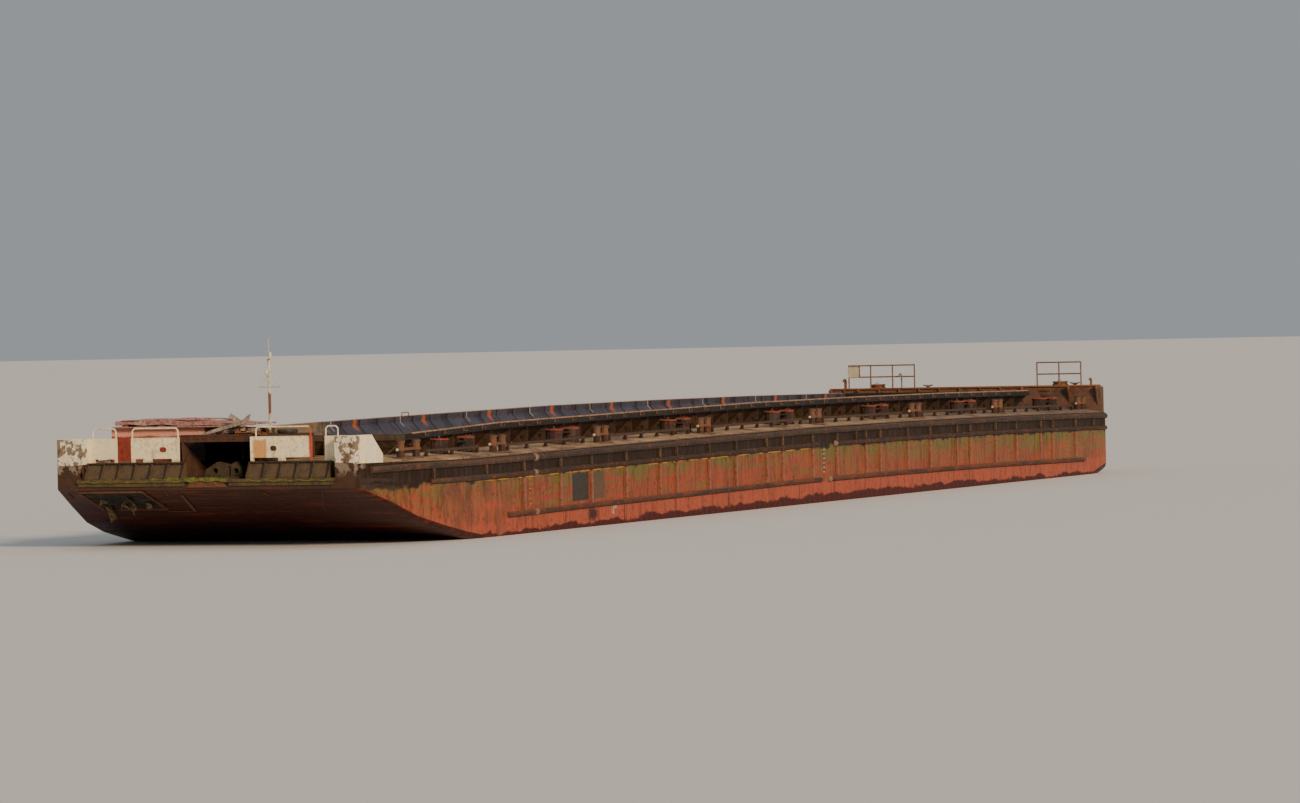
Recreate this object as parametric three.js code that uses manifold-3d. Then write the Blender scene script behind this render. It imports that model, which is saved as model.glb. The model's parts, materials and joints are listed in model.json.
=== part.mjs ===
// River deck barge: a box hull with a raked sled bow, an open cargo box of leaning walls
// on deck, rubbing bars down both sides, access trunks, bollards and low guard rails on the side
// decks, a bow bulwark round a coupling recess with a winch house behind it, and a raised stern
// platform behind a push wall.
//
// Frame: +X to the bow, +Y to port, +Z up, origin on the flat bottom under the middle of the hull.
// All sizes are written in metres of the real barge. SCALE turns them into millimetres of the
// 1:10 model, so the 87 m hull is 8.7 m long here.
import * as THREE from "three";
import { mergeVertices } from "three/addons/utils/BufferGeometryUtils.js";
import Module from "manifold-3d";

const wasm = await Module();
wasm.setup();

const SCALE = 100;
const GAP = 0.003; // the room left between two neighbouring pieces, 0.3 mm in the model

// Driving dimensions, in metres of the real barge
const LENGTH = 87;
const HALF_BEAM = 7.5;

// Cargo box, its height measured up from the middle of the deck
const BOX_FORE = 7.3; // metres aft of the bow
const BOX_AFT = 80.8;
const RAIL_OUTER_Y = 5.0;
const RAIL_HEIGHT = 0.25;
const RAIL_WIDTH = 0.2;
const WALL_HEIGHT = 0.97;
const WALL_DIP = 0.16; // how much lower the wall is at its fore end
const WALL_DIP_RUN = 8;
const WALL_LEAN = 0.85; // how far the foot of the wall stands inboard of its top
const END_LEAN = 0.5;
const WALL_THICK = 0.1;
const KNEE_PITCH = 1.8;
const KNEE_THICK = 0.05;
const KNEE_HOLE = { radius: 0.09, in: 0.28, up: 0.27 }; // place from the outer lower corner

// Side deck fittings
const TRUNK_RADIUS = 0.34;
const TRUNK_HEIGHT = 0.58;
const TRUNK_Y = 6.0;
const LID_RADIUS = 0.38;
const LID_THICK = 0.05;
const HINGE_OUT = 0.43; // from the middle of a lid to its hinge pin
const BOLLARD_RADIUS = 0.15;
const BOLLARD_HEIGHT = 0.68;
const STRIP_THICK = 0.055;
const FOOT_DEPTH = 0.028; // how far above the deck the fittings start, inside the strip
const GUARD_Y = 6.8;
const GUARD_HEIGHT = 0.3;

// Bow
const SILL = 3.75; // top of the leaning bow plating
const LEDGE = 3.12; // top of the beam across the bow
const BOW_HALF = 6.35;
const RAMP_RUN = 0.4; // how far the leaning plating runs aft
const BULWARK_TOP = 4.7;
const BULWARK_THICK = 0.06;
const HANDRAIL_TOP = 5.1;
const HANDRAIL_RADIUS = 0.03;
const RECESS = { starboard: -1.25, port: 1.72, depth: 5.75 };
const HOUSE = { fore: 2.7, aft: 5.9, starboard: -5.4, port: -1.35, top: 5.05, wall: 0.08 };
const ROOF = { fore: 0.55, aft: 5.87, starboard: -1.3, port: 1.8, low: 4.58, top: 4.72 };

// Stern
const PUSH_WALL = 85.0;
const PUSH_WALL_TOP = 4.89;
const PLATFORM_TOP = 4.8;

const bowward = (aft) => LENGTH / 2 - aft;

// Deck line at the side of the hull: metres aft of the bow, height above the flat bottom.
// The old hull has bent up amidships.
const deckLine = [
  { aft: 0, height: 3.52 },
  { aft: 4, height: 3.58 },
  { aft: 8, height: 3.575 },
  { aft: 12, height: 3.59 },
  { aft: 16, height: 3.625 },
  { aft: 20, height: 3.66 },
  { aft: 26, height: 3.695 },
  { aft: 34, height: 3.745 },
  { aft: 44, height: 3.8 },
  { aft: 56, height: 3.775 },
  { aft: 68, height: 3.705 },
  { aft: 80, height: 3.575 },
  { aft: LENGTH, height: 3.465 },
];
// How far the deck rises towards the middle
const camber = [
  { y: 0, rise: 0.2 },
  { y: 5.2, rise: 0.2 },
  { y: 6.9, rise: 0.08 },
  { y: HALF_BEAM, rise: 0 },
];

// Reads a column of a table between its rows
function between(table, key, place, column) {
  const next = Math.max(1, table.findIndex((row) => row[key] >= place - 1e-9));
  const [low, high] = [table[next - 1], table[next]];
  const share = (place - low[key]) / (high[key] - low[key]);
  return low[column] * (1 - share) + high[column] * share;
}
const aftOf = (x) => Math.min(Math.max(LENGTH / 2 - x, 0), LENGTH);
const edgeAt = (x) => between(deckLine, "aft", aftOf(x), "height");
const deckAt = (x, y = 0) => edgeAt(x) + between(camber, "y", Math.abs(y), "rise");

// Turns a geometry into a manifold solid
function solid(geometry) {
  const bare = geometry.index ? geometry.toNonIndexed() : geometry;
  for (const name of ["normal", "uv"]) bare.deleteAttribute(name);
  const merged = mergeVertices(bare, 1e-5);
  const triVerts = new Uint32Array(merged.index.array);
  const vertProperties = new Float32Array(merged.attributes.position.array);
  return new wasm.Manifold(new wasm.Mesh({ numProp: 3, vertProperties, triVerts }));
}

// Joins a list of solids
const join = (list) => list.reduce((all, one) => all.add(one));

// A loft through closed sections with the same number of points, given from the bow aft
function loft(given) {
  const outline = (section) => section.map((p) => new THREE.Vector2(p[1], p[2]));
  const backwards = THREE.ShapeUtils.area(outline(given[0])) < 0;
  const sections = backwards ? given.map((section) => [...section].reverse()) : given;
  const count = sections[0].length;
  const position = [];
  const put = (...points) => points.forEach((p) => position.push(...p));
  for (let s = 0; s + 1 < sections.length; s++) {
    for (let i = 0; i < count; i++) {
      const j = (i + 1) % count;
      const [a, b, c, d] = [sections[s][i], sections[s][j], sections[s + 1][j], sections[s + 1][i]];
      put(b, a, d, b, d, c);
    }
  }
  const cap = (section) => THREE.ShapeUtils.triangulateShape(outline(section), []);
  const [first, last] = [sections[0], sections[sections.length - 1]];
  for (const [a, b, c] of cap(first)) put(first[a], first[b], first[c]);
  for (const [a, b, c] of cap(last)) put(last[c], last[b], last[a]);
  const geometry = new THREE.BufferGeometry();
  geometry.setAttribute("position", new THREE.Float32BufferAttribute(position, 3));
  return solid(geometry);
}

// A long piece from fore to aft, its section in Y and Z given for every x
function sweep(fore, aft, sectionAt) {
  const knots = hullPlaces.filter((a) => a > fore + 0.01 && a < aft - 0.01);
  return loft([fore, ...knots, aft].map((a) => {
    const x = bowward(a);
    return sectionAt(x).map(([y, z]) => [x, y, z]);
  }));
}

// A box between two corners
function box(x0, x1, y0, y1, z0, z1) {
  const g = new THREE.BoxGeometry(Math.abs(x1 - x0), Math.abs(y1 - y0), Math.abs(z1 - z0));
  g.translate((x0 + x1) / 2, (y0 + y1) / 2, (z0 + z1) / 2);
  return solid(g);
}

// A block standing on the middle of the deck, its foot following the deck and its top level
function deckBlock(fore, aft, y0, y1, top) {
  return sweep(fore, aft, (x) => {
    const foot = deckAt(x) + GAP;
    return [[y0, foot], [y1, foot], [y1, top], [y0, top]];
  });
}

// An outline in two axes, extruded along the third. axis is the extruded one.
function plate(outline, axis, from, to, holes = []) {
  const points = outline.map(([u, v]) => new THREE.Vector2(u, v));
  const shape = new THREE.Shape(THREE.ShapeUtils.area(points) < 0 ? points.reverse() : points);
  for (const hole of holes) {
    const rim = hole.getPoints(4);
    shape.holes.push(new THREE.Path(THREE.ShapeUtils.area(rim) > 0 ? rim.reverse() : rim));
  }
  const g = new THREE.ExtrudeGeometry(shape, { depth: to - from, bevelEnabled: false });
  g.translate(0, 0, axis === "y" ? -to : from);
  const turn = new THREE.Matrix4();
  if (axis === "x") turn.set(0, 0, 1, 0, 1, 0, 0, 0, 0, 1, 0, 0, 0, 0, 0, 1); // u is Y, v is Z
  if (axis === "y") turn.set(1, 0, 0, 0, 0, 0, -1, 0, 0, 1, 0, 0, 0, 0, 0, 1); // u is X, v is Z
  g.applyMatrix4(turn);
  return solid(g);
}

// A round bar between two points
function bar(from, to, radius, sides = 8, toRadius = radius) {
  const [a, b] = [new THREE.Vector3(...from), new THREE.Vector3(...to)];
  const g = new THREE.CylinderGeometry(toRadius, radius, a.distanceTo(b), sides);
  const along = b.clone().sub(a).normalize();
  g.applyQuaternion(new THREE.Quaternion().setFromUnitVectors(new THREE.Vector3(0, 1, 0), along));
  g.translate((a.x + b.x) / 2, (a.y + b.y) / 2, (a.z + b.z) / 2);
  return solid(g);
}

// Round bars joined from point to point
const pipe = (points, radius, sides = 8) =>
  join(points.slice(1).map((p, i) => bar(points[i], p, radius, sides)));

// Hull lines: metres aft of the bow, half breadth, height of the bottom, radius of the bilge
const hullLines = [
  { aft: 0, half: BOW_HALF, bottom: 2.72, bilge: 0.08 },
  { aft: 2, half: 6.87, bottom: 2.02, bilge: 0.12 },
  { aft: 3.7, half: 7.2, bottom: 1.35, bilge: 0.16 },
  { aft: 5.5, half: 7.45, bottom: 0.9, bilge: 0.2 },
  { aft: 7.6, half: HALF_BEAM, bottom: 0.5, bilge: 0.25 },
  { aft: 10, half: HALF_BEAM, bottom: 0.15, bilge: 0.3 },
  { aft: 12, half: HALF_BEAM, bottom: 0, bilge: 0.35 },
  { aft: 81, half: HALF_BEAM, bottom: 0, bilge: 0.35 },
  { aft: 83, half: HALF_BEAM, bottom: 0.15, bilge: 0.4 },
  { aft: 85.2, half: HALF_BEAM, bottom: 0.55, bilge: 0.4 },
  { aft: LENGTH, half: 6.3, bottom: 1.15, bilge: 0.3 },
];
const lineAt = (aft, column) => between(hullLines, "aft", aft, column);
const halfAt = (x) => lineAt(aftOf(x), "half");

// Every place along the hull where a long piece has to bend with it
const hullPlaces = [...new Set([...deckLine, ...hullLines].map((row) => row.aft))].sort((a, b) => a - b);

// Where the deck changes its slope, out from the middle, on a hull of this half breadth
const slopes = (half) => [half, half - 0.6, 5.2];

function hullSection(aft) {
  const x = bowward(aft);
  const [half, bottom, bilge] = ["half", "bottom", "bilge"].map((c) => lineAt(aft, c));
  const port = slopes(half).reverse().map((y) => [x, y, deckAt(x, y)]);
  const steps = 3;
  for (let i = 0; i <= steps; i++) {
    const turn = (i / steps) * Math.PI / 2;
    port.push([x, half - bilge * (1 - Math.cos(turn)), bottom + bilge * (1 - Math.sin(turn))]);
  }
  const starboard = port.map(([px, y, z]) => [px, -y, z]).reverse();
  return [...port, ...starboard];
}

function hull() {
  const body = loft(hullPlaces.map(hullSection));
  const bow = bowward(0);
  const aboveDeck = SILL + 1;
  const recess = box(bow - RECESS.depth, bow + 1, RECESS.starboard, RECESS.port, LEDGE, aboveDeck);
  const [star, port] = [-corners.starboard.inner, corners.port.inner];
  const step = box(bow - RAMP_RUN - 0.1, bow + 1, star, port, LEDGE, aboveDeck);
  const pocket = plate(oval(-eyes.y, eyes.inHull), "x", bow - 0.15, bow + 1);
  return body.subtract(recess).subtract(step).subtract(pocket);
}

// Half-round bar section, flat side against the hull, on the port or starboard side
function halfRound(side, radius, drop) {
  const points = [];
  for (let i = 0; i <= 4; i++) {
    const turn = (i / 4 - 0.5) * Math.PI;
    points.push([side * (GAP + radius * Math.cos(turn)), -drop + radius * Math.sin(turn)]);
  }
  return points;
}

// Where the vertical ribs stand on the side, in metres aft of the bow
const ribs = [12.9, 16.5, 19.6, 23.2, 26.8, 28.6, 32.2, 35.25, 38.8, 40.7, 44.3, 47.3, 50.95, 52.8,
  56.4, 59.4, 63.05, 64.9, 68.5, 71.5, 75.1, 76.9, 80.4];
// Short ribs, from the upper fender to the middle one only
const shortRibs = [4.75, 9.3, 49.7, 83.2];
const RIB_HALF = 0.075;
// Runs of the side fenders: drop below the deck edge, radius, and ends in metres aft of the bow
const fenderRuns = [
  { name: "upper", drop: 0.17, radius: 0.14, fore: 0.85, aft: 85.2 },
  { name: "middle", drop: 0.77, radius: 0.11, fore: 4.6, aft: 45.1 },
  { name: "middle", drop: 0.77, radius: 0.11, fore: 47.0, aft: 85.2 },
  { name: "lower", drop: 2.33, radius: 0.12, fore: 11.3, aft: 45.3 },
  { name: "lower", drop: 2.33, radius: 0.12, fore: 46.2, aft: 81.6 },
];
const dropOf = (name) => fenderRuns.find((run) => run.name === name).drop;

function rubbingFrame(side) {
  const parts = fenderRuns.map(({ drop, radius, fore, aft }) => sweep(fore, aft, (x) =>
    halfRound(side, radius, drop).map(([y, z]) => [y + side * halfAt(x), z + edgeAt(x)])));
  const post = (aft, name) => {
    const x = bowward(aft);
    const y = side * (Math.max(halfAt(x - RIB_HALF), halfAt(x + RIB_HALF)) + GAP * 2);
    const [top, low] = [edgeAt(x) - dropOf("upper"), edgeAt(x) - dropOf(name)];
    return box(x - RIB_HALF, x + RIB_HALF, y, y + side * RIB_HALF, low, top);
  };
  for (const aft of ribs) parts.push(post(aft, "lower"));
  for (const aft of shortRibs) parts.push(post(aft, "middle"));
  return join(parts);
}

// Top of the cargo box wall
const wallTop = (x) => deckAt(x) + WALL_HEIGHT - WALL_DIP * Math.max(0, 1 - (aftOf(x) - BOX_FORE) / WALL_DIP_RUN);

// Cargo box wall along one side, with its knees and top rail
function sideWall(side) {
  const inner = RAIL_OUTER_Y - RAIL_WIDTH;
  const foot = RAIL_OUTER_Y - WALL_LEAN;
  const head = RAIL_OUTER_Y - 0.02;
  const mirror = (section) => section.map(([y, z]) => [side * y, z]);
  const railLow = (x) => wallTop(x) - RAIL_HEIGHT;
  const rail = (x) => mirror([[inner, railLow(x)], [RAIL_OUTER_Y, railLow(x)],
    [RAIL_OUTER_Y, wallTop(x)], [inner, wallTop(x)]]);
  const skin = (x) => mirror([[foot - WALL_THICK, deckAt(x) + GAP], [foot, deckAt(x) + GAP],
    [head, railLow(x) + 0.05], [head - WALL_THICK * 1.4, railLow(x) + 0.05]]);
  const parts = [rail, skin].map((section) => sweep(BOX_FORE + 0.2, BOX_AFT - 0.2, section));
  const outer = RAIL_OUTER_Y - 0.03;
  for (let aft = BOX_FORE + 1; aft < BOX_AFT - 0.8; aft += KNEE_PITCH) {
    const x = bowward(aft);
    const [z, top] = [deckAt(x), railLow(x) + 0.02];
    const outline = mirror([[foot - 0.04, z + GAP * 2], [outer, z + GAP * 2], [outer, top], [outer - 0.06, top]]);
    const hole = new THREE.Path();
    hole.absarc(side * (outer - KNEE_HOLE.in), z + KNEE_HOLE.up, KNEE_HOLE.radius, 0, Math.PI * 2, true);
    parts.push(plate(outline, "x", x - KNEE_THICK / 2, x + KNEE_THICK / 2, [hole]));
  }
  return join(parts);
}

// Cargo box wall across the barge: aft is its outer face, and lean is +1 at the bow, -1 at the stern
function endWall(aft, lean) {
  const top = bowward(aft);
  const foot = top - lean * END_LEAN;
  const high = wallTop(top);
  const railLow = high - RAIL_HEIGHT;
  const floor = Math.max(deckAt(top), deckAt(foot)) + GAP;
  const wide = RAIL_OUTER_Y - WALL_THICK - 0.07;
  const narrow = RAIL_OUTER_Y - WALL_LEAN - WALL_THICK - 0.01;
  const face = (shift) => [[foot + shift, -narrow, floor], [foot + shift, narrow, floor],
    [top + shift, wide, railLow + 0.05], [top + shift, -wide, railLow + 0.05]];
  const skin = loft(lean > 0 ? [face(0), face(-WALL_THICK)] : [face(WALL_THICK), face(0)]);
  const rail = box(top, top - lean * (RAIL_WIDTH - GAP), -RAIL_OUTER_Y, RAIL_OUTER_Y, railLow, high);
  const stay = [[foot - lean * 0.04, floor + GAP], [top - lean * 0.03, floor + GAP],
    [top - lean * 0.03, railLow + 0.02], [top - lean * 0.09, railLow + 0.02]];
  const stays = [-3, -1.5, 0, 1.5, 3].map((y) =>
    plate(stay, "y", y - KNEE_THICK / 2, y + KNEE_THICK / 2));
  return join([skin, rail, ...stays]);
}

// Bollards: metres aft of the bow, distance between the two posts, and distance from the middle
const bollards = [
  { aft: 4.2, spread: 1.4, y: 6.6 },
  { aft: 11.7, spread: 0.85, y: 6.95 },
  { aft: 22.0, spread: 0.8, y: 6.95 },
  { aft: 33.1, spread: 0.77, y: 6.95 },
  { aft: 46.2, spread: 0.75, y: 6.95 },
  { aft: 59.0, spread: 0.9, y: 6.95 },
  { aft: 70.45, spread: 0.75, y: 6.95 },
  { aft: 84.0, spread: 0.8, y: 6.6 },
];
// Guard rail between two bollards, with its post count
const guards = [
  { fore: 5.6, aft: 10.4, posts: 3 },
  { fore: 13.0, aft: 20.6, posts: 5 },
  { fore: 23.2, aft: 31.8, posts: 6 },
  { fore: 34.4, aft: 44.9, posts: 7 },
  { fore: 47.5, aft: 57.6, posts: 7 },
  { fore: 60.4, aft: 69.2, posts: 6 },
  { fore: 71.8, aft: 82.2, posts: 7 },
];
// Pairs of trunks, one hull compartment apart
const trunks = [
  { fore: 8.3, aft: 10.8 },
  ...[1, 2, 3, 4, 5, 6].map((n) => ({ fore: 7.4 + n * 12, aft: 9.1 + n * 12 })),
];

// The fore trunk of a pair is rusted shut under its own cap, the aft one carries a loose lid
function trunk(aft, side, capped) {
  const x = bowward(aft);
  const y = side * TRUNK_Y;
  const z = deckAt(x, y);
  const top = z + TRUNK_HEIGHT;
  const wall = bar([x, y, z + FOOT_DEPTH], [x, y, top], TRUNK_RADIUS, 12);
  if (capped) return wall.add(bar([x, y, top - 0.01], [x, y, top + LID_THICK], LID_RADIUS, 12));
  const foot = box(x + TRUNK_RADIUS * 0.8, x + HINGE_OUT + 0.04, y - 0.16, y + 0.16, top - 0.16, top - 0.06);
  const ear = (y0) => box(x + LID_RADIUS - 0.01, x + HINGE_OUT + 0.04, y0, y0 + 0.04, top - 0.07, top + 0.07);
  return join([wall, foot, ear(y + 0.12), ear(y - 0.16)]);
}

function bollard({ aft, spread, y: out }, side) {
  const y = side * out;
  const foot = (x) => deckAt(x, y) + FOOT_DEPTH;
  const ends = [-0.5, 0.5].map((s) => bowward(aft) + s * spread);
  const parts = ends.flatMap((x) => [
    bar([x, y, foot(x)], [x, y, foot(x) + BOLLARD_HEIGHT], BOLLARD_RADIUS, 10),
    bar([x, y, foot(x) + BOLLARD_HEIGHT - 0.05], [x, y, foot(x) + BOLLARD_HEIGHT], BOLLARD_RADIUS + 0.03, 10),
  ]);
  const cross = foot(bowward(aft)) + BOLLARD_HEIGHT * 0.52;
  parts.push(bar([ends[0] - 0.3, y, cross], [ends[1] + 0.3, y, cross], 0.07, 6));
  return join(parts);
}

// Lengths of the side deck plating, each cut just aft of a bollard
const deckLengths = [
  { fore: 2.2, aft: 22.8 },
  { fore: 22.8, aft: 47.2 },
  { fore: 47.2, aft: 71.45 },
  { fore: 71.45, aft: 84.6 },
];
const WING_AFT = 6.2; // up to here the bow narrows the plating

// One length of side deck: the strip of plating and the fittings that it carries
function sideDeck(side, { fore, aft }) {
  const strip = (from, to, across) => sweep(from, to, (x) => [
    ...across.map((y) => [side * y, deckAt(x, y) + GAP]),
    ...[...across].reverse().map((y) => [side * y, deckAt(x, y) + STRIP_THICK]),
  ]);
  const here = (place) => place > fore && place < aft;
  const parts = [strip(Math.max(fore, WING_AFT - 0.2), aft - GAP, [5.1, 5.2, 6.9, 7.42])];
  if (here(WING_AFT)) parts.push(strip(fore, WING_AFT, [5.5, 6.4, 6.85]));
  for (const one of bollards.filter((row) => here(row.aft))) parts.push(bollard(one, side));
  for (const pair of trunks.filter((row) => here(row.aft))) {
    parts.push(trunk(pair.fore, side, true), trunk(pair.aft, side, false));
  }
  for (const guard of guards.filter((row) => here(row.aft))) parts.push(guardRail(guard, side));
  return join(parts);
}

function guardRail({ fore, aft, posts }, side) {
  const y = side * (GUARD_Y - (fore < WING_AFT ? 0.1 : 0));
  const high = (x) => deckAt(x, y) + GUARD_HEIGHT;
  const parts = [sweep(fore, aft, (x) => [[y - 0.04, high(x) - 0.06], [y + 0.04, high(x) - 0.06],
    [y + 0.04, high(x)], [y - 0.04, high(x)]])];
  for (let i = 0; i < posts; i++) {
    const x = bowward(fore + 0.05 + ((aft - fore - 0.1) * i) / (posts - 1));
    parts.push(box(x - 0.05, x + 0.05, y - 0.035, y + 0.035, deckAt(x, y) + FOOT_DEPTH, high(x) - 0.03));
  }
  return join(parts);
}

// Loose lid of a trunk: a disc with its hinge knuckle at the fore edge and a handle
function lid(aft, side) {
  const x = bowward(aft);
  const y = side * TRUNK_Y;
  const z = deckAt(x, y) + TRUNK_HEIGHT + GAP;
  const pin = z + LID_THICK / 2;
  return join([
    bar([x, y, z], [x, y, z + LID_THICK], LID_RADIUS - 0.03, 12),
    box(x + LID_RADIUS - 0.12, x + HINGE_OUT, y - 0.1, y + 0.1, z, z + LID_THICK),
    bar([x + HINGE_OUT, y - 0.11, pin], [x + HINGE_OUT, y + 0.11, pin], 0.035, 8),
    box(x - 0.215, x - 0.185, y - 0.12, y - 0.09, z + 0.03, z + 0.12),
    box(x - 0.215, x - 0.185, y + 0.09, y + 0.12, z + 0.03, z + 0.12),
    box(x - 0.215, x - 0.185, y - 0.12, y + 0.12, z + 0.09, z + 0.12),
  ]);
}

// Leaning plating across the bow with its ribs
function bowRamp(from, to, ribCount) {
  const bow = bowward(0);
  const back = bow - RAMP_RUN;
  const parts = [plate([[bow - 0.02, LEDGE + GAP], [bow - 0.02, LEDGE + 0.06], [back, SILL],
    [back - 0.08, SILL], [back - 0.08, LEDGE + GAP]], "y", from, to)];
  for (let i = 0; i < ribCount; i++) {
    const y = from + 0.03 + ((to - from - 0.06) * i) / (ribCount - 1);
    parts.push(plate([[bow - 0.05, LEDGE + GAP], [bow + 0.06, LEDGE + GAP], [back + 0.1, SILL],
      [back - 0.02, SILL], [bow - 0.1, LEDGE + 0.1]], "y", y - 0.025, y + 0.025));
  }
  return join(parts);
}

function headlogBeam(from, to) {
  const bow = bowward(0);
  return join([
    box(bow + GAP, bow + 0.1, from, to, LEDGE - 0.12, LEDGE),
    box(bow + GAP, bow + 0.05, from + 0.05, to - 0.05, LEDGE - 0.26, LEDGE - 0.1),
  ]);
}

// A slot with round ends, lying along Y
function rounded(y, z, w, h) {
  const hole = new THREE.Path();
  const r = h / 2;
  hole.moveTo(y - w / 2 + r, z - r);
  hole.lineTo(y + w / 2 - r, z - r);
  hole.absarc(y + w / 2 - r, z, r, -Math.PI / 2, Math.PI / 2, false);
  hole.lineTo(y - w / 2 + r, z + r);
  hole.absarc(y - w / 2 + r, z, r, Math.PI / 2, Math.PI * 1.5, false);
  return hole;
}

function handrail(x, from, to) {
  const [low, high] = [BULWARK_TOP - 0.05, HANDRAIL_TOP - HANDRAIL_RADIUS];
  const soft = 0.09;
  return pipe([[x, from, low], [x, from, high - soft], [x, from + soft, high], [x, to - soft, high],
    [x, to, high - soft], [x, to, low]], HANDRAIL_RADIUS, 6);
}

// Bulwark panels across the bow on the sill: ends, middle of the oval hole, scuppers, handrail ends
const panels = {
  starboard: { from: -3.37, to: -1.32, oval: -2.0, scuppers: [[-3.21, -2.86], [-2.48, -1.63]], rail: [-3.32, -1.36] },
  port: { from: 1.73, to: 4.32, oval: 2.7, scuppers: [[1.87, 2.9], [3.2, 4.25]], rail: [1.97, 4.28] },
};

function innerPanel({ from, to, oval: middle, scuppers, rail }) {
  const x = bowward(RAMP_RUN + 0.05);
  const base = SILL + GAP;
  let sheet = plate([[from, base], [to, base], [to, BULWARK_TOP], [from, BULWARK_TOP]],
    "x", x - BULWARK_THICK, x, [rounded(middle, 4.25, 0.32, 0.22)]);
  for (const [a, b] of scuppers) sheet = sheet.subtract(box(x - 1, x + 1, a, b, base - 1, base + 0.15));
  return join([sheet, handrail(x - BULWARK_THICK / 2, ...rail)]);
}

// Bow corners: inner side of the front plate, inner end of the return panel, its scupper
const corners = {
  starboard: { side: -1, inner: 5.2, panel: 4.04, scupper: [5.0, 4.15], pierced: true },
  port: { side: 1, inner: 5.5, panel: 4.83 },
};

// The upright holes in the starboard front plate: distance off the middle, and heights
const eyes = { y: 5.31, inPlate: [3.93, 4.4], inHull: 3.3 };

// Outline of an upright hole
function oval(y, z) {
  const [w, h] = [0.06, 0.13];
  const sides = 8;
  return Array.from({ length: sides }, (_, i) => {
    const turn = ((i + 0.5) / sides) * Math.PI * 2;
    return [y + w * Math.cos(turn), z + h * Math.sin(turn)];
  });
}

// A bow corner: front plate, the return panel with its handrail, and the wing down the side
function cornerBulwark({ side, inner, panel, scupper, pierced }) {
  const bow = bowward(0);
  const m = (y) => side * y;
  const out = (x) => halfAt(x) - 0.01;
  const stand = (x, y) => deckAt(x, y) + GAP;
  const across = [inner, 5.75, BOW_HALF - 0.01];
  let front = plate([...across.map((y) => [m(y), stand(bow, Math.min(y, 5.75))]),
    [m(BOW_HALF - 0.01), BULWARK_TOP], [m(inner), BULWARK_TOP]], "x", bow - 0.12, bow);
  for (const z of pierced ? eyes.inPlate : []) {
    front = front.subtract(plate(oval(m(eyes.y), z), "x", bow - 1, bow + 1));
  }
  // Plan ring of the wing at x: outer and inner side, foot and top
  const ring = (x, top) => {
    const [far, near] = [out(x), out(x) - BULWARK_THICK];
    return [[x, m(far), stand(x, near)], [x, m(far), top], [x, m(near), top], [x, m(near), stand(x, near)]];
  };
  const wing = loft([ring(bow, BULWARK_TOP), ring(bow - 1, BULWARK_TOP), ring(bow - 1.6, edgeAt(bow - 1.6) + 0.42)]);
  const back = bow - RAMP_RUN - 0.15;
  const cheek = box(bow - 0.01, back, m(inner), m(inner + BULWARK_THICK), stand(back, 0), BULWARK_TOP);
  let sheet = box(back - BULWARK_THICK, back, m(panel), m(inner + BULWARK_THICK), stand(back, 0), BULWARK_TOP);
  if (scupper) sheet = sheet.subtract(box(back - 1, back + 1, m(scupper[0]), m(scupper[1]), 0, SILL + 0.15));
  const ends = [m(panel) + side * 0.04, m(inner) - side * 0.12].sort((p, q) => p - q);
  return join([front, wing, cheek, sheet, handrail(back - BULWARK_THICK / 2, ...ends)]);
}

// Two gabled blocks with eyes for the coupling pins, on one base in the recess
function couplingLugs() {
  const bow = bowward(0);
  const foot = LEDGE + 0.05;
  const base = box(bow - 1.9, bow - 0.3, -0.65, 1.25, LEDGE + GAP, LEDGE + 0.06);
  const lug = (outline, eyeY) => {
    const eye = new THREE.Path().absarc(eyeY, 3.4, 0.11, 0, Math.PI * 2, true);
    return plate(outline, "x", bow - 1.35, bow - 1.0, [eye]);
  };
  return join([
    base,
    lug([[-0.55, foot], [0.52, foot], [0.52, 3.64], [0.04, 3.75], [-0.45, 3.47]], -0.06),
    lug([[0.6, foot], [1.12, foot], [1.03, 3.5], [0.8, 3.75], [0.6, 3.62]], 0.82),
  ]);
}

// Winch house beside the recess, hollow, with a doorway in its aft wall
function winchHouse() {
  const { fore, aft, starboard, port, top, wall } = HOUSE;
  const shell = deckBlock(fore, aft, starboard, port, top);
  const room = box(bowward(aft - wall), bowward(fore + wall), starboard + wall, port - wall, 0, top - wall);
  const door = box(bowward(aft) - 1, bowward(aft - 1), -3.7, -2.9, 0, top - 0.3);
  return shell.subtract(room).subtract(door);
}

// Loose cover plates lying on the house and out over the recess, sagging between their bearers
function houseCover() {
  const [fore, aft] = [bowward(HOUSE.fore - 0.25), bowward(HOUSE.aft - 0.5)];
  const z = HOUSE.top + GAP;
  const lower = box(aft, fore, HOUSE.starboard + 0.15, -0.5, z, z + 0.05);
  const bearers = [-4.9, -3.3, -1.6].map((y) => box(aft + 0.2, fore - 0.2, y, y + 0.25, z + 0.04, z + 0.16));
  const sag = [[-5.15, 0.26], [-4.6, 0.31], [-3.9, 0.25], [-3.1, 0.29], [-2.3, 0.21], [-1.3, 0.24],
    [-0.4, 0.14], [0.45, 0.12]];
  const top = sag.map(([y, h]) => [y, z + h]);
  const under = [...sag].reverse().map(([y, h]) => [y, z + Math.max(h - 0.16, 0.055)]);
  return join([lower, ...bearers, plate([...top, ...under], "x", aft + 0.1, fore - 0.1)]);
}

// Plated roof over the coupling recess, with its front lip and its port and aft walls
function recessRoof() {
  const [fore, aft] = [bowward(ROOF.fore), bowward(ROOF.aft)];
  const { starboard, port, low, top } = ROOF;
  const wall = 0.06;
  return join([
    box(aft, fore, starboard, port, low, top),
    box(fore - 0.1, fore, starboard, port, low - 0.06, top + 0.05),
    deckBlock(ROOF.fore, ROOF.aft, port - wall, port, low + 0.02),
    deckBlock(ROOF.aft - wall, ROOF.aft, starboard, port, low + 0.02),
  ]);
}

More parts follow.
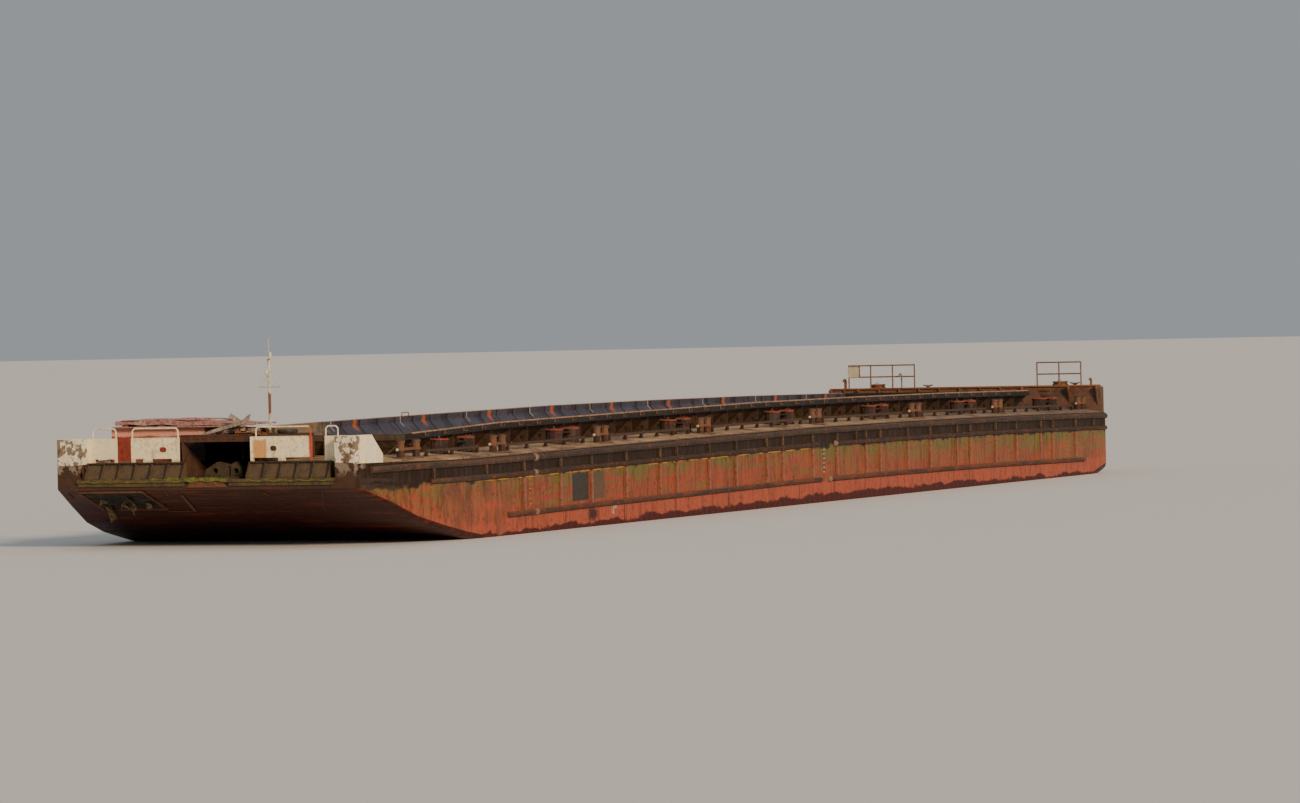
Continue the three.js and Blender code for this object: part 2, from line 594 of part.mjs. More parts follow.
// The three-cornered cheek plate at the starboard side of the recess
function recessCheek(y0, y1) {
  const fore = bowward(ROOF.fore);
  const [foot, head] = [LEDGE + GAP, ROOF.low - 0.08];
  return plate([[fore, foot], [fore, head], [fore - 0.15, head], [fore - 2.5, foot]], "y", y0, y1);
}

// Mast: shoe on the recess roof, and the folding mast above its pin
const MAST = { aft: 3.4, y: 1.13, pin: 0.24, arm: 6.56, head: 7.68, tip: 8.38 };
const mastX = bowward(MAST.aft);
const pinZ = ROOF.top + MAST.pin;

function mastShoe() {
  const z = ROOF.top + GAP;
  const cheek = (y) => box(mastX - 0.09, mastX + 0.09, y - 0.02, y + 0.02, z + 0.03, pinZ + 0.07);
  return join([
    box(mastX - 0.2, mastX + 0.2, MAST.y - 0.2, MAST.y + 0.2, z, z + 0.04),
    cheek(MAST.y - 0.13),
    cheek(MAST.y + 0.13),
  ]);
}

function mast() {
  const { y, arm, head, tip } = MAST;
  const up = (z0, z1, radius, sides = 10, toRadius = radius) =>
    bar([mastX, y, z0], [mastX, y, z1], radius, sides, toRadius);
  return join([
    up(pinZ - 0.06, arm + 0.03, 0.055),
    up(arm - 0.03, head, 0.055, 10, 0.045),
    up(head - 0.02, tip, 0.018, 6),
    bar([mastX, y - 0.48, arm], [mastX, y + 0.48, arm], 0.03, 8),
    bar([mastX, y - 0.1, pinZ], [mastX, y + 0.1, pinZ], 0.035, 8),
    box(mastX - 0.05, mastX + 0.19, y - 0.06, y + 0.16, head - 0.04, head),
    bar([mastX + 0.1, y + 0.1, head - 0.01], [mastX + 0.1, y + 0.1, head + 0.18], 0.05, 8),
    box(mastX - 0.02, mastX + 0.17, y - 0.1, y, 7.0, 7.04),
    bar([mastX + 0.12, y - 0.06, 7.03], [mastX + 0.12, y - 0.06, 7.2], 0.05, 8),
  ]);
}

// Stern: the push wall with its stiffeners, and the raised platform behind it
function pushWall() {
  const x = bowward(PUSH_WALL);
  const edge = HALF_BEAM - 0.17;
  const breaks = [-edge, -6.9, -5.2, 5.2, 6.9, edge];
  const foot = (y) => deckAt(x + 0.4, y) + GAP;
  const outline = [...breaks.map((y) => [y, foot(y)]), [edge, PUSH_WALL_TOP], [-edge, PUSH_WALL_TOP]];
  const parts = [plate(outline, "x", x - 0.08, x)];
  for (const y of [-6.5, -4.6, -3.5, -2.4, -1.3, -0.2, 0.9, 2.0]) {
    parts.push(box(x - 0.01, x + 0.12, y - 0.03, y + 0.03, foot(y) + 0.1, PUSH_WALL_TOP - 0.03));
  }
  for (const y of [3.2, 5.7, -5.7, 7.2, -7.2]) {
    parts.push(plate([[x - 0.01, foot(y) + 0.35], [x + 0.02, foot(y) + 0.35], [x + 0.4, PUSH_WALL_TOP - 0.02],
      [x - 0.01, PUSH_WALL_TOP - 0.02]], "y", y - 0.03, y + 0.03));
  }
  return join(parts);
}

function sternPlatform(below) {
  const ring = (aft) => {
    const half = lineAt(aft, "half") - 0.06;
    const foot = edgeAt(bowward(aft)) - 0.02;
    return [[half, foot], [half, PLATFORM_TOP], [-half, PLATFORM_TOP], [-half, foot]]
      .map(([y, z]) => [bowward(aft), y, z]);
  };
  return loft([ring(PUSH_WALL + 0.08 + GAP), ring(85.2), ring(LENGTH)]).subtract(below.translate([0, 0, GAP]));
}

// Pipe railings across the platform: ends, posts, and the board on one of them
const railings = {
  starboard: { from: -6.4, to: -2.8, posts: 4, board: true },
  port: { from: 3.85, to: 6.2, posts: 3 },
};

function sternRailing({ from, to, posts, board }) {
  const x = bowward(PUSH_WALL + 0.35);
  const z = PLATFORM_TOP + GAP;
  const [mid, top, radius] = [z + 0.68, z + 1.27, 0.035];
  const parts = [mid, top].map((h) => bar([x, from - 0.02, h], [x, to + 0.02, h], radius, 6));
  for (let i = 0; i < posts; i++) {
    const y = from + ((to - from) * i) / (posts - 1);
    parts.push(bar([x, y, z], [x, y, top + 0.02], radius * 1.1, 6));
  }
  if (board) parts.push(box(x - 0.01, x + 0.02, from, from + 0.62, mid, top));
  return join(parts);
}

const HATCH = { aft: 86.1, radius: 0.4, height: 0.22, starboard: -5.1, port: 4.83 };
function sternHatch(y) {
  const x = bowward(HATCH.aft);
  return bar([x, y, PLATFORM_TOP + GAP], [x, y, PLATFORM_TOP + HATCH.height], HATCH.radius - 0.05, 16);
}

function sternLid(y) {
  const x = bowward(HATCH.aft);
  const z = PLATFORM_TOP + HATCH.height + GAP;
  const pin = [x - HATCH.radius - 0.03, z + LID_THICK / 2];
  return join([
    bar([x, y, z], [x, y, z + LID_THICK], HATCH.radius, 16),
    bar([pin[0], y - 0.12, pin[1]], [pin[0], y + 0.12, pin[1]], 0.035, 8),
    box(pin[0] - 0.01, x - HATCH.radius + 0.08, y - 0.1, y + 0.1, z, z + LID_THICK),
  ]);
}

// Finishes, as colour, roughness and metalness
const finishes = {
  redLead: [0xa8583a, 0.85, 0.1],
  fenderSteel: [0x3a2c27, 0.8, 0.3],
  deckSteel: [0x8a7a66, 0.9, 0.1],
  wallSteel: [0x2c2d38, 0.7, 0.4],
  creamPaint: [0xd8d2b8, 0.7, 0.0],
  redPaint: [0xb8402c, 0.75, 0.0],
  rust: [0x5d3626, 0.9, 0.2],
  whitePaint: [0xe8e6dc, 0.6, 0.0],
  darkSteel: [0x37302b, 0.8, 0.3],
};

const barge = new THREE.Group();
function add(name, made, finish) {
  const { numProp, vertProperties, triVerts } = made.getMesh();
  const position = new Float32Array((vertProperties.length / numProp) * 3);
  for (let i = 0; i < position.length / 3; i++) {
    for (let k = 0; k < 3; k++) position[i * 3 + k] = vertProperties[i * numProp + k] * SCALE;
  }
  const geometry = new THREE.BufferGeometry();
  geometry.setAttribute("position", new THREE.BufferAttribute(position, 3));
  geometry.setIndex(new THREE.BufferAttribute(new Uint32Array(triVerts), 1));
  geometry.computeVertexNormals();
  const [color, roughness, metalness] = finishes[finish];
  const mesh = new THREE.Mesh(geometry, new THREE.MeshStandardMaterial({ color, roughness, metalness }));
  mesh.name = name;
  barge.add(mesh);
}

const sides = { port: 1, starboard: -1 };

const hullBody = hull();
add("hull", hullBody, "redLead");
for (const [name, side] of Object.entries(sides)) {
  add(`rubbing_frame_${name}`, rubbingFrame(side), "fenderSteel");
  deckLengths.forEach((length, n) => add(`side_deck_${name}_${n + 1}`, sideDeck(side, length), "deckSteel"));
  add(`cargo_wall_${name}`, sideWall(side), "wallSteel");
  trunks.forEach((pair, n) => add(`trunk_lid_${name}_${n + 1}`, lid(pair.aft, side), "redPaint"));
}
add("cargo_wall_fore", endWall(BOX_FORE, 1), "wallSteel");
add("cargo_wall_aft", endWall(BOX_AFT, -1), "wallSteel");

add("bow_ramp_starboard", bowRamp(-corners.starboard.inner + GAP, -1.0, 7), "darkSteel");
add("bow_ramp_port", bowRamp(RECESS.port + GAP, 5.2, 6), "darkSteel");
add("bow_beam_starboard", headlogBeam(-5.5, -0.82), "darkSteel");
add("bow_beam_port", headlogBeam(0.97, 5.5), "darkSteel");
for (const name of Object.keys(sides)) {
  add(`bow_bulwark_${name}`, innerPanel(panels[name]), "creamPaint");
  add(`bow_corner_${name}`, cornerBulwark(corners[name]), "creamPaint");
}
add("coupling_lugs", couplingLugs(), "rust");
add("recess_roof", recessRoof(), "rust");
add("recess_cheek", recessCheek(RECESS.starboard + 0.02, RECESS.starboard + 0.08), "rust");
add("winch_house", winchHouse(), "redPaint");
add("winch_house_cover", houseCover(), "redPaint");
add("mast_shoe", mastShoe(), "whitePaint");
add("signal_mast", mast(), "whitePaint");

add("push_wall", pushWall(), "rust");
add("stern_platform", sternPlatform(hullBody), "deckSteel");
for (const name of Object.keys(sides)) {
  add(`stern_railing_${name}`, sternRailing(railings[name]), "rust");
  add(`stern_hatch_${name}`, sternHatch(HATCH[name]), "darkSteel");
  add(`stern_lid_${name}`, sternLid(HATCH[name]), "redPaint");
}

export default barge;
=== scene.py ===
import json
from math import cos, pi, radians, sin, tau
from random import Random

import bpy
from mathutils import Matrix, Vector

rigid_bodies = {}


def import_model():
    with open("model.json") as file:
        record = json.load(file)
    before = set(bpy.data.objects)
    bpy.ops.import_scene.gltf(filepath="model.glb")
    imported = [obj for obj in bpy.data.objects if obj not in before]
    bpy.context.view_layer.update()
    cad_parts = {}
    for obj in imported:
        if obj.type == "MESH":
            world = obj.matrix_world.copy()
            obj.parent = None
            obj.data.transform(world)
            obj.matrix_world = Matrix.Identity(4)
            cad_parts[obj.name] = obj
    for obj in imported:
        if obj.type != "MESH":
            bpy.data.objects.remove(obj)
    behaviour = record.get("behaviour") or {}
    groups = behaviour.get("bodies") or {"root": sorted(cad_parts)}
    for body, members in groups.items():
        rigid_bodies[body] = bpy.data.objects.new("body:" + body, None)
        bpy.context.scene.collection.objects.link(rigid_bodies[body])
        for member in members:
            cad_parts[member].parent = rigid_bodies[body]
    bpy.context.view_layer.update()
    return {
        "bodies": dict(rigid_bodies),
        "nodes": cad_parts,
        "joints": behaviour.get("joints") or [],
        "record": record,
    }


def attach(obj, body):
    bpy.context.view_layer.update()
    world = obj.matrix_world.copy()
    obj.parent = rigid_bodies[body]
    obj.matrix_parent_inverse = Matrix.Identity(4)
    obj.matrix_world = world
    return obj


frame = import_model()
nodes = frame["nodes"]

# The part is a 1:10 model, so a metre on the real barge is 0.1 m here
realMetre = 0.1
halfLength = 43.5  # real metres from the bow back to the middle of the hull
waterline = 0.45 * realMetre
# Deck line at the side, real metres aft of the bow and above the flat bottom
deckLine = [(0, 3.52), (4, 3.58), (8, 3.575), (12, 3.59), (16, 3.625), (20, 3.66), (26, 3.695), (34, 3.745),
            (44, 3.8), (56, 3.775), (68, 3.705), (80, 3.575), (87, 3.465)]
camber = [(0, 0.2), (5.2, 0.2), (6.9, 0.08), (7.5, 0)]  # distance off the middle, rise of the deck
halfBeam = 7.5
# Real metres aft of the bow, and half the breadth at the deck
hullHalf = [(0, 6.35), (2, 6.87), (3.7, 7.2), (5.5, 7.45), (7.6, 7.5), (85.2, 7.5), (87, 6.3)]
stripTop = 0.055  # side deck plating above the deck
trunkPairs = [(8.3, 10.8)] + [(7.4 + 12 * n, 9.1 + 12 * n) for n in range(1, 7)]
trunkAcross, trunkRadius, trunkHeight = 6.0, 0.34, 0.58
bollards = [(4.2, 1.4, 6.6), (11.7, 0.85, 6.95), (22, 0.8, 6.95), (33.1, 0.77, 6.95), (46.2, 0.75, 6.95),
            (59, 0.9, 6.95), (70.45, 0.75, 6.95), (84, 0.8, 6.6)]  # aft, spread, distance off the middle
fenderDrop = {"upper": 0.17, "middle": 0.77, "lower": 2.33}
sides = {"port": 1, "starboard": -1}


def along(table, place):  # reads a table of pairs between its rows
    for (a, p), (b, q) in zip(table, table[1:]):
        if place <= b:
            return p + (q - p) * (place - a) / (b - a)
    return table[-1][1]


def spot(aft, across, height):  # real metres to a place in the model
    return Vector((halfLength - aft, across, height)) * realMetre


def deckHeight(aft, across=0):
    return along(deckLine, aft) + along(camber, abs(across))


def onDeck(aft, across, up=0):
    return spot(aft, across, deckHeight(aft, across) + up)


def deselectAll():
    if bpy.context.mode != "OBJECT":
        bpy.ops.object.mode_set(mode="OBJECT")
    bpy.ops.object.select_all(action="DESELECT")


def pick(piece):
    deselectAll()
    piece.select_set(True)
    bpy.context.view_layer.objects.active = piece


def linear(hexText):  # an sRGB colour as the linear values that nodes use
    parts = [int(hexText[i:i + 2], 16) / 255 for i in (0, 2, 4)]
    return tuple(p / 12.92 if p <= 0.04045 else ((p + 0.055) / 1.055) ** 2.4 for p in parts) + (1,)


def addNode(tree, kind, settings=None, out=0, **inputs):  # a node with its settings, links and input values
    node = tree.nodes.new("ShaderNode" + kind)
    for name, value in (settings or {}).items():
        setattr(node, name, value)
    for name, value in inputs.items():
        key = int(name[2:]) if name.startswith("at") else name.replace("_", " ")
        if isinstance(value, bpy.types.NodeSocket):
            tree.links.new(value, node.inputs[key])
        else:
            node.inputs[key].default_value = value
    return node.outputs[out]


plus, minus, times = [{"operation": name} for name in ("ADD", "SUBTRACT", "MULTIPLY")]
soft = {"interpolation_type": "SMOOTHSTEP"}

print("stage: camera, floor and lights")
view = {
    "place": (24.7183, 10.4402, 0.9174),
    "forward": (-0.92122, -0.38874, -0.01521),
    "roll": -1.2684,
    "lens": 166.13,
}


def placeCamera():
    forward = Vector(view["forward"]).normalized()
    right = forward.cross(Vector((0, 0, 1))).normalized()
    up = right.cross(forward)
    turn = radians(view["roll"])
    tiltedRight = right * cos(turn) + up * sin(turn)
    tiltedUp = up * cos(turn) - right * sin(turn)
    bpy.ops.object.camera_add()
    camera = bpy.context.object
    camera.name = "photoCamera"
    camera.data.lens = view["lens"]
    camera.data.sensor_width = 36
    camera.data.clip_end = 500
    axes = Matrix((tiltedRight, tiltedUp, -forward)).transposed().to_4x4()
    camera.matrix_world = Matrix.Translation(view["place"]) @ axes
    bpy.context.scene.camera = camera


stage = {"floor": "e9e8e4", "world": "dfe5ea", "worldStrength": 0.42, "sun": 3.1, "sunColour": "ffe3c2",
         "sunFrom": (0.62, 0.8, 0.42)}


def buildStage():
    deselectAll()
    bpy.ops.mesh.primitive_plane_add(size=160, location=(-20, 0, waterline))
    floor = bpy.context.object
    floor.name = "floor"
    bpy.ops.object.transform_apply(location=True)
    material = bpy.data.materials.new("matteFloor")
    material.use_nodes = True
    shader = material.node_tree.nodes["Principled BSDF"]
    shader.inputs["Base Color"].default_value = linear(stage["floor"])
    shader.inputs["Roughness"].default_value = 0.9
    floor.data.materials.append(material)
    world = bpy.data.worlds.new("softStudio")
    bpy.context.scene.world = world
    world.use_nodes = True
    background = world.node_tree.nodes["Background"]
    background.inputs["Color"].default_value = linear(stage["world"])
    background.inputs["Strength"].default_value = stage["worldStrength"]
    bpy.ops.object.light_add(type="SUN")
    sun = bpy.context.object
    sun.name = "softSun"
    sun.data.energy = stage["sun"]
    sun.data.color = linear(stage["sunColour"])[:3]
    sun.data.angle = radians(12)
    sun.rotation_euler = Vector(stage["sunFrom"]).to_track_quat("Z", "Y").to_euler()


placeCamera()
buildStage()

print("stage: paints and rusts")


def startMaterial(name):
    material = bpy.data.materials.new(name)
    material.use_nodes = True
    return material, material.node_tree, material.node_tree.nodes["Principled BSDF"]


# Where a point lies on the real barge in metres, its drop below the deck edge, and which way it faces
def gauge(tree):
    seat = addNode(tree, "TexCoord", out=3)
    metres = addNode(tree, "VectorMath", {"operation": "SCALE"}, at0=seat, Scale=1 / realMetre)
    part = addNode(tree, "SeparateXYZ", at0=metres).node.outputs
    aft = addNode(tree, "Math", minus, at0=halfLength, at1=part[0])
    off = addNode(tree, "Math", {"operation": "ABSOLUTE"}, at0=part[1])
    low, heights = 3.0, []  # a colour ramp holds 0 to 1, so it takes the deck line above this height
    for measure, table, lift in ((aft, deckLine, low), (off, camber, 0)):
        span = table[-1][0]
        share = addNode(tree, "Math", times, at0=measure, at1=1 / span)
        grey = addNode(tree, "ValToRGB", at0=share)
        steps = grey.node.color_ramp.elements
        for place, _ in table[1:-1]:
            steps.new(place / span)
        for step, (place, height) in zip(steps, table):
            step.position = place / span
            step.color = (height - lift, height - lift, height - lift, 1)
        heights.append(grey)
    line, rise = heights
    fromLow = addNode(tree, "Math", minus, at0=part[2], at1=low)
    drop = addNode(tree, "Math", minus, at0=line, at1=fromLow)
    under = addNode(tree, "Math", plus, at0=drop, at1=rise)
    above = addNode(tree, "Math", times, at0=under, at1=-1.0)
    facing = addNode(tree, "SeparateXYZ", at0=addNode(tree, "TexCoord", out=1)).node.outputs
    return {"metres": metres, "aft": aft, "across": part[1], "height": part[2], "off": off, "drop": drop,
            "above": above, "ahead": facing[0], "aside": facing[1], "up": facing[2]}


# Ragged patches of about this size in real metres. Noise between low and high goes from 0 to 1.
def rustPatches(tree, metres, size, low, high, stretch=(1, 1, 1), detail=5):
    scale = [1 / (size * s) for s in stretch]
    scaled = addNode(tree, "VectorMath", times, at0=metres, at1=scale)
    noise = addNode(tree, "TexNoise", Vector=scaled, Scale=1.0, Detail=detail, Roughness=0.62)
    return addNode(tree, "MapRange", soft, Value=noise, From_Min=low, From_Max=high)


def paintBand(tree, value, low, high, fade=0.04):  # 1 between two places, with a soft edge on both
    start = addNode(tree, "MapRange", soft, Value=value, From_Min=low - fade, From_Max=low + fade)
    end = addNode(tree, "MapRange", soft, Value=value, From_Min=high - fade, From_Max=high + fade)
    return addNode(tree, "Math", minus, at0=start, at1=end)


def raggedEdge(tree, value, metres, size, amount, stretch=(1, 1, 1)):  # a place pushed to and fro by noise
    wave = rustPatches(tree, metres, size, 0.25, 0.75, stretch)
    return addNode(tree, "Math", {"operation": "MULTIPLY_ADD"}, at0=wave, at1=amount, at2=value)


def plateSeams(tree, value, pitch, width, start=0.0):  # thin lines at a regular pitch
    turned = addNode(tree, "Math", minus, at0=value, at1=start)
    wrap = addNode(tree, "Math", {"operation": "PINGPONG"}, at0=turned, at1=pitch / 2)
    away = addNode(tree, "MapRange", soft, Value=wrap, From_Min=width * 0.5, From_Max=width)
    return addNode(tree, "Math", minus, at0=1.0, at1=away)


# Coats laid over a base colour. Each is a hex, its strength and the masks that must all hold.
def layCoats(tree, base, coats):
    colour = linear(base)
    for hexText, strength, *masks in coats:
        cover = masks[0]
        for mask in masks[1:]:
            cover = addNode(tree, "Math", times, at0=cover, at1=mask)
        if strength < 1:
            cover = addNode(tree, "Math", times, at0=cover, at1=strength)
        paint = linear(hexText)
        colour = addNode(tree, "Mix", {"data_type": "RGBA"}, out=2, at0=cover, at6=colour, at7=paint)
    return colour


# Links colour, roughness and bumps to the shader. A bump is a height and its depth in real metres.
def dress(tree, shader, colour, worn, dry, smooth, bumps):
    tree.links.new(colour, shader.inputs["Base Color"])
    roughness = addNode(tree, "MapRange", Value=worn, To_Min=dry, To_Max=smooth)
    tree.links.new(roughness, shader.inputs["Roughness"])
    normal = None
    for height, depth in bumps:
        bump = addNode(tree, "Bump", Height=height, Distance=depth * realMetre)
        if normal:
            tree.links.new(normal, bump.node.inputs["Normal"])
        normal = bump
    tree.links.new(normal, shader.inputs["Normal"])


# Red lead primer on shell plating: chalky and matt, streaked down by rust, dark and wet low down
hullCoats = {
    "primer": "8c4b33", "lead": "a54f31", "salmon": "ae563c", "olive": "756236", "moss": "66682e",
    "tar": "2c1f17", "soot": "4a382c", "drips": "4e2b1c", "ochre": "d0932f", "wet": "48160e",
    "doubler": "2a3430", "paleDoubler": "4d4a38", "splash": "d5cab6", "seam": "3d1f15",
    "bowBrown": "664430", "peeled": "b3a188", "rakeRustAndShade": "3d150c", "rakeStreak": "7a3218",
    "headlog": "42342a", "headlogRed": "553626", "deck": "a58462", "deckDark": "75593f",
    "deckPale": "c2a580", "deckAft": "6c645c", "recess": "0e0a09", "ledge": "5e4f2c",
    "ledgeMoss": "74762a",
    "seams": [17.0, 23.0, 28.5, 34.4, 42.7, 47.0, 64.8, 75.0],
}


def redLeadPrimer():
    material, tree, shader = startMaterial("redLeadPrimer")
    shader.inputs["Specular IOR Level"].default_value = 0.2
    c, g = hullCoats, gauge(tree)
    metres, aft, drop = g["metres"], g["aft"], g["drop"]
    broad = rustPatches(tree, metres, 3.2, 0.42, 0.62, (1, 1, 0.5))
    small = rustPatches(tree, metres, 0.55, 0.45, 0.62)
    fleck = rustPatches(tree, metres, 0.16, 0.52, 0.66)
    drips = rustPatches(tree, metres, 0.3, 0.47, 0.66, (0.6, 0.6, 5), 3)
    fineDrips = rustPatches(tree, metres, 0.12, 0.5, 0.68, (0.7, 0.7, 9), 3)
    smears = rustPatches(tree, metres, 0.45, 0.5, 0.6, (6, 1, 0.5))
    ragged = raggedEdge(tree, drop, metres, 0.9, 0.34, (1, 1, 0.7))
    wetDrop = raggedEdge(tree, drop, metres, 1.9, 0.34, (1, 1, 0.5))
    deck = addNode(tree, "MapRange", Value=g["up"], From_Min=0.45, From_Max=0.6)
    # Faces that look downward, the raked bottom at the bow, where dark rust and painted shade are laid
    rakeRustAndShade = addNode(tree, "MapRange", Value=g["up"], From_Min=-0.12, From_Max=-0.2)
    foreEnd = addNode(tree, "MapRange", soft, Value=aft, From_Min=16.0, From_Max=8.0)
    aftHalf = addNode(tree, "MapRange", soft, Value=aft, From_Min=38.0, From_Max=56.0)
    slime = rustPatches(tree, metres, 0.5, 0.4, 0.56, (9, 1, 0.5))
    stern = addNode(tree, "MapRange", soft, Value=aft, From_Min=40.0, From_Max=84.0)
    inner = addNode(tree, "MapRange", Value=g["off"], From_Min=2.2, From_Max=2.0)
    ahead = addNode(tree, "MapRange", Value=g["ahead"], From_Min=0.7, From_Max=0.9)
    low = addNode(tree, "MapRange", Value=g["height"], From_Min=3.32, From_Max=3.28)
    coats = [
        (c["lead"], 0.7, broad),
        (c["salmon"], 0.8, paintBand(tree, ragged, 2.45, 3.4, 0.1)),
        (c["olive"], 0.8, paintBand(tree, ragged, 0.9, 2.5, 0.3), smears),
        (c["olive"], 0.7, paintBand(tree, ragged, 0.85, 1.3, 0.16)),
        (c["moss"], 0.75, paintBand(tree, ragged, 0.8, 1.6, 0.2),
         rustPatches(tree, metres, 1.4, 0.46, 0.6, (2, 1, 0.7))),
        (c["moss"], 0.4, paintBand(tree, ragged, 0.95, 1.95, 0.3), slime, aftHalf),
        (c["olive"], 0.35, paintBand(tree, ragged, 0.9, 2.2, 0.3), aftHalf, small),
        (c["salmon"], 0.6, foreEnd, paintBand(tree, drop, 1.6, 3.1, 0.4)),
        (c["bowBrown"], 0.75, foreEnd, rustPatches(tree, metres, 1.0, 0.45, 0.58, (1, 1, 1.5))),
        (c["olive"], 0.7, foreEnd, rustPatches(tree, metres, 0.9, 0.5, 0.62, (1, 1, 1.6)),
         paintBand(tree, drop, 0.5, 2.0, 0.5)),
        (c["drips"], 0.5, drips),
        (c["lead"], 0.8, fineDrips, paintBand(tree, drop, 1.4, 3.0, 0.3)),
        (c["drips"], 0.65, fleck, small),
        (c["tar"], 1, addNode(tree, "MapRange", soft, Value=ragged, From_Min=1.12, From_Max=0.98)),
        (c["soot"], 0.45, drips, addNode(tree, "MapRange", soft, Value=drop, From_Min=0.8, From_Max=0.7)),
        (c["ochre"], 0.85, paintBand(tree, drop, 0.88, 0.93, 0.015),
         rustPatches(tree, metres, 1.1, 0.42, 0.54), paintBand(tree, aft, 9.0, 44.0, 2.0)),
        (c["doubler"], 0.9, paintBand(tree, aft, 17.7, 19.35), paintBand(tree, drop, 0.97, 2.1)),
        (c["paleDoubler"], 0.8, paintBand(tree, aft, 19.8, 21.0), paintBand(tree, drop, 1.0, 2.1)),
        (c["tar"], 0.9, paintBand(tree, aft, 19.3, 20.2, 0.2), paintBand(tree, ragged, 2.6, 3.1, 0.1)),
        (c["splash"], 0.8, paintBand(tree, aft, 21.7, 22.2, 0.12), paintBand(tree, drop, 2.42, 2.85, 0.1),
         small),
    ]
    for place in c["seams"]:
        coats.append((c["seam"], 0.9, paintBand(tree, aft, place - 0.035, place + 0.035, 0.02),
                      addNode(tree, "MapRange", Value=drop, From_Min=2.35, From_Max=2.5)))
    coats += [
        (c["headlog"], 1, ahead),
        (c["headlogRed"], 0.8, ahead, rustPatches(tree, metres, 0.8, 0.46, 0.62, (1, 2, 0.5))),
        (c["headlog"], 0.85, paintBand(tree, aft, 0.0, 2.2, 0.8), smears),
        (c["peeled"], 0.45, paintBand(tree, aft, -0.5, 0.5, 0.2), paintBand(tree, drop, -0.4, 0.25, 0.2),
         paintBand(tree, g["off"], 5.2, 7.0, 0.1), rustPatches(tree, metres, 0.4, 0.5, 0.55)),
        (c["wet"], 1, addNode(tree, "MapRange", soft, Value=wetDrop, From_Min=3.1, From_Max=3.2)),
        # Dark rust on the raked bottom, with painted shade as it faces down away from the light
        (c["rakeRustAndShade"], 1, rakeRustAndShade),
        (c["rakeStreak"], 0.6, rakeRustAndShade, rustPatches(tree, metres, 0.7, 0.5, 0.68, (1, 4, 0.25))),
        (c["deck"], 1, deck),
        (c["deckDark"], 0.8, deck, rustPatches(tree, metres, 1.3, 0.44, 0.62)),
        (c["deckPale"], 0.7, deck, rustPatches(tree, metres, 2.4, 0.5, 0.66)),
        (c["deckAft"], 0.7, deck, stern),
        (c["ledge"], 1, deck, low),
        (c["ledgeMoss"], 0.9, deck, low, rustPatches(tree, metres, 0.5, 0.42, 0.56, (1, 2, 1))),
        # Painted shade: the hull inside the coupling recess at the bow is near-black, as the recess lies in
        # deep shade
        (c["recess"], 0.93, inner, paintBand(tree, aft, 0.35, 5.9),
         addNode(tree, "Math", minus, at0=1.0, at1=rakeRustAndShade)),
    ]
    frames = plateSeams(tree, aft, 0.6, 0.16)  # frames of the hull show through the plating
    seams = plateSeams(tree, aft, 6.0, 0.03, 17.0)
    dents = rustPatches(tree, metres, 1.7, 0.2, 0.8)
    dress(tree, shader, layCoats(tree, c["primer"], coats), wetDrop, 0.88, 0.45,
          [(dents, 0.05), (frames, 0.012), (seams, -0.012), (fleck, 0.01)])
    return material


# Fender steel: half-round bar, scraped and scaling, nearly black in patches where it stays wet and on its
# underside as painted shade, with a painted highlight along its top
fenderCoats = {"upper": "44352c", "bay": "57432f", "middle": "3c281e", "rib": "9c6450", "lower": "663a26",
               "scale": "281b14", "fleck": "9a5c30", "scrapeAndTopHighlight": "8a7460", "fore": "5b4030"}


def fenderSteel():
    material, tree, shader = startMaterial("fenderSteel")
    c, g = fenderCoats, gauge(tree)
    metres, drop = g["metres"], g["drop"]
    fleck = rustPatches(tree, metres, 0.12, 0.5, 0.64)
    patch = rustPatches(tree, metres, 0.8, 0.44, 0.62, (2, 1, 0.6))
    coats = [
        (c["bay"], 1, paintBand(tree, drop, 0.33, 0.66, 0.02)),
        (c["middle"], 1, paintBand(tree, drop, 0.64, 0.92, 0.02)),
        (c["lower"], 1, addNode(tree, "MapRange", Value=drop, From_Min=2.18, From_Max=2.24)),
        (c["fore"], 0.8, addNode(tree, "MapRange", soft, Value=g["aft"], From_Min=16.0, From_Max=6.0)),
        (c["scale"], 0.75, patch),
        # Painted shade: the downward faces of the fenders darker
        (c["scale"], 0.8, addNode(tree, "MapRange", Value=g["up"], From_Min=-0.2, From_Max=-0.7)),
        (c["fleck"], 0.5, fleck, rustPatches(tree, metres, 1.5, 0.42, 0.58)),
        # Upward faces lighter in patches: scraped steel and a painted highlight along the top
        (c["scrapeAndTopHighlight"], 0.3, addNode(tree, "MapRange", Value=g["up"], From_Min=0.5, From_Max=0.9), patch),
        (c["rib"], 0.85, paintBand(tree, drop, 0.92, 2.22, 0.05)),
        (c["lower"], 0.5, paintBand(tree, drop, 0.92, 2.22, 0.05), fleck),
    ]
    dress(tree, shader, layCoats(tree, c["upper"], coats), patch, 0.85, 0.6,
          [(rustPatches(tree, metres, 0.5, 0.3, 0.7), 0.03), (fleck, 0.012)])
    return material


# Side deck plating and its fittings: dusty deck paint, worn brown steel, red lead on the trunk rims
deckCoats = {"deck": "a98a67", "deckDark": "785e46", "deckPale": "c6aa84", "deckAft": "70665c",
             "trunk": "2e2522", "trunkPale": "433630", "rim": "9c452e", "bollard": "6f4f3a",
             "guard": "3e2e23", "rust": "95502a", "grime": "281d16"}


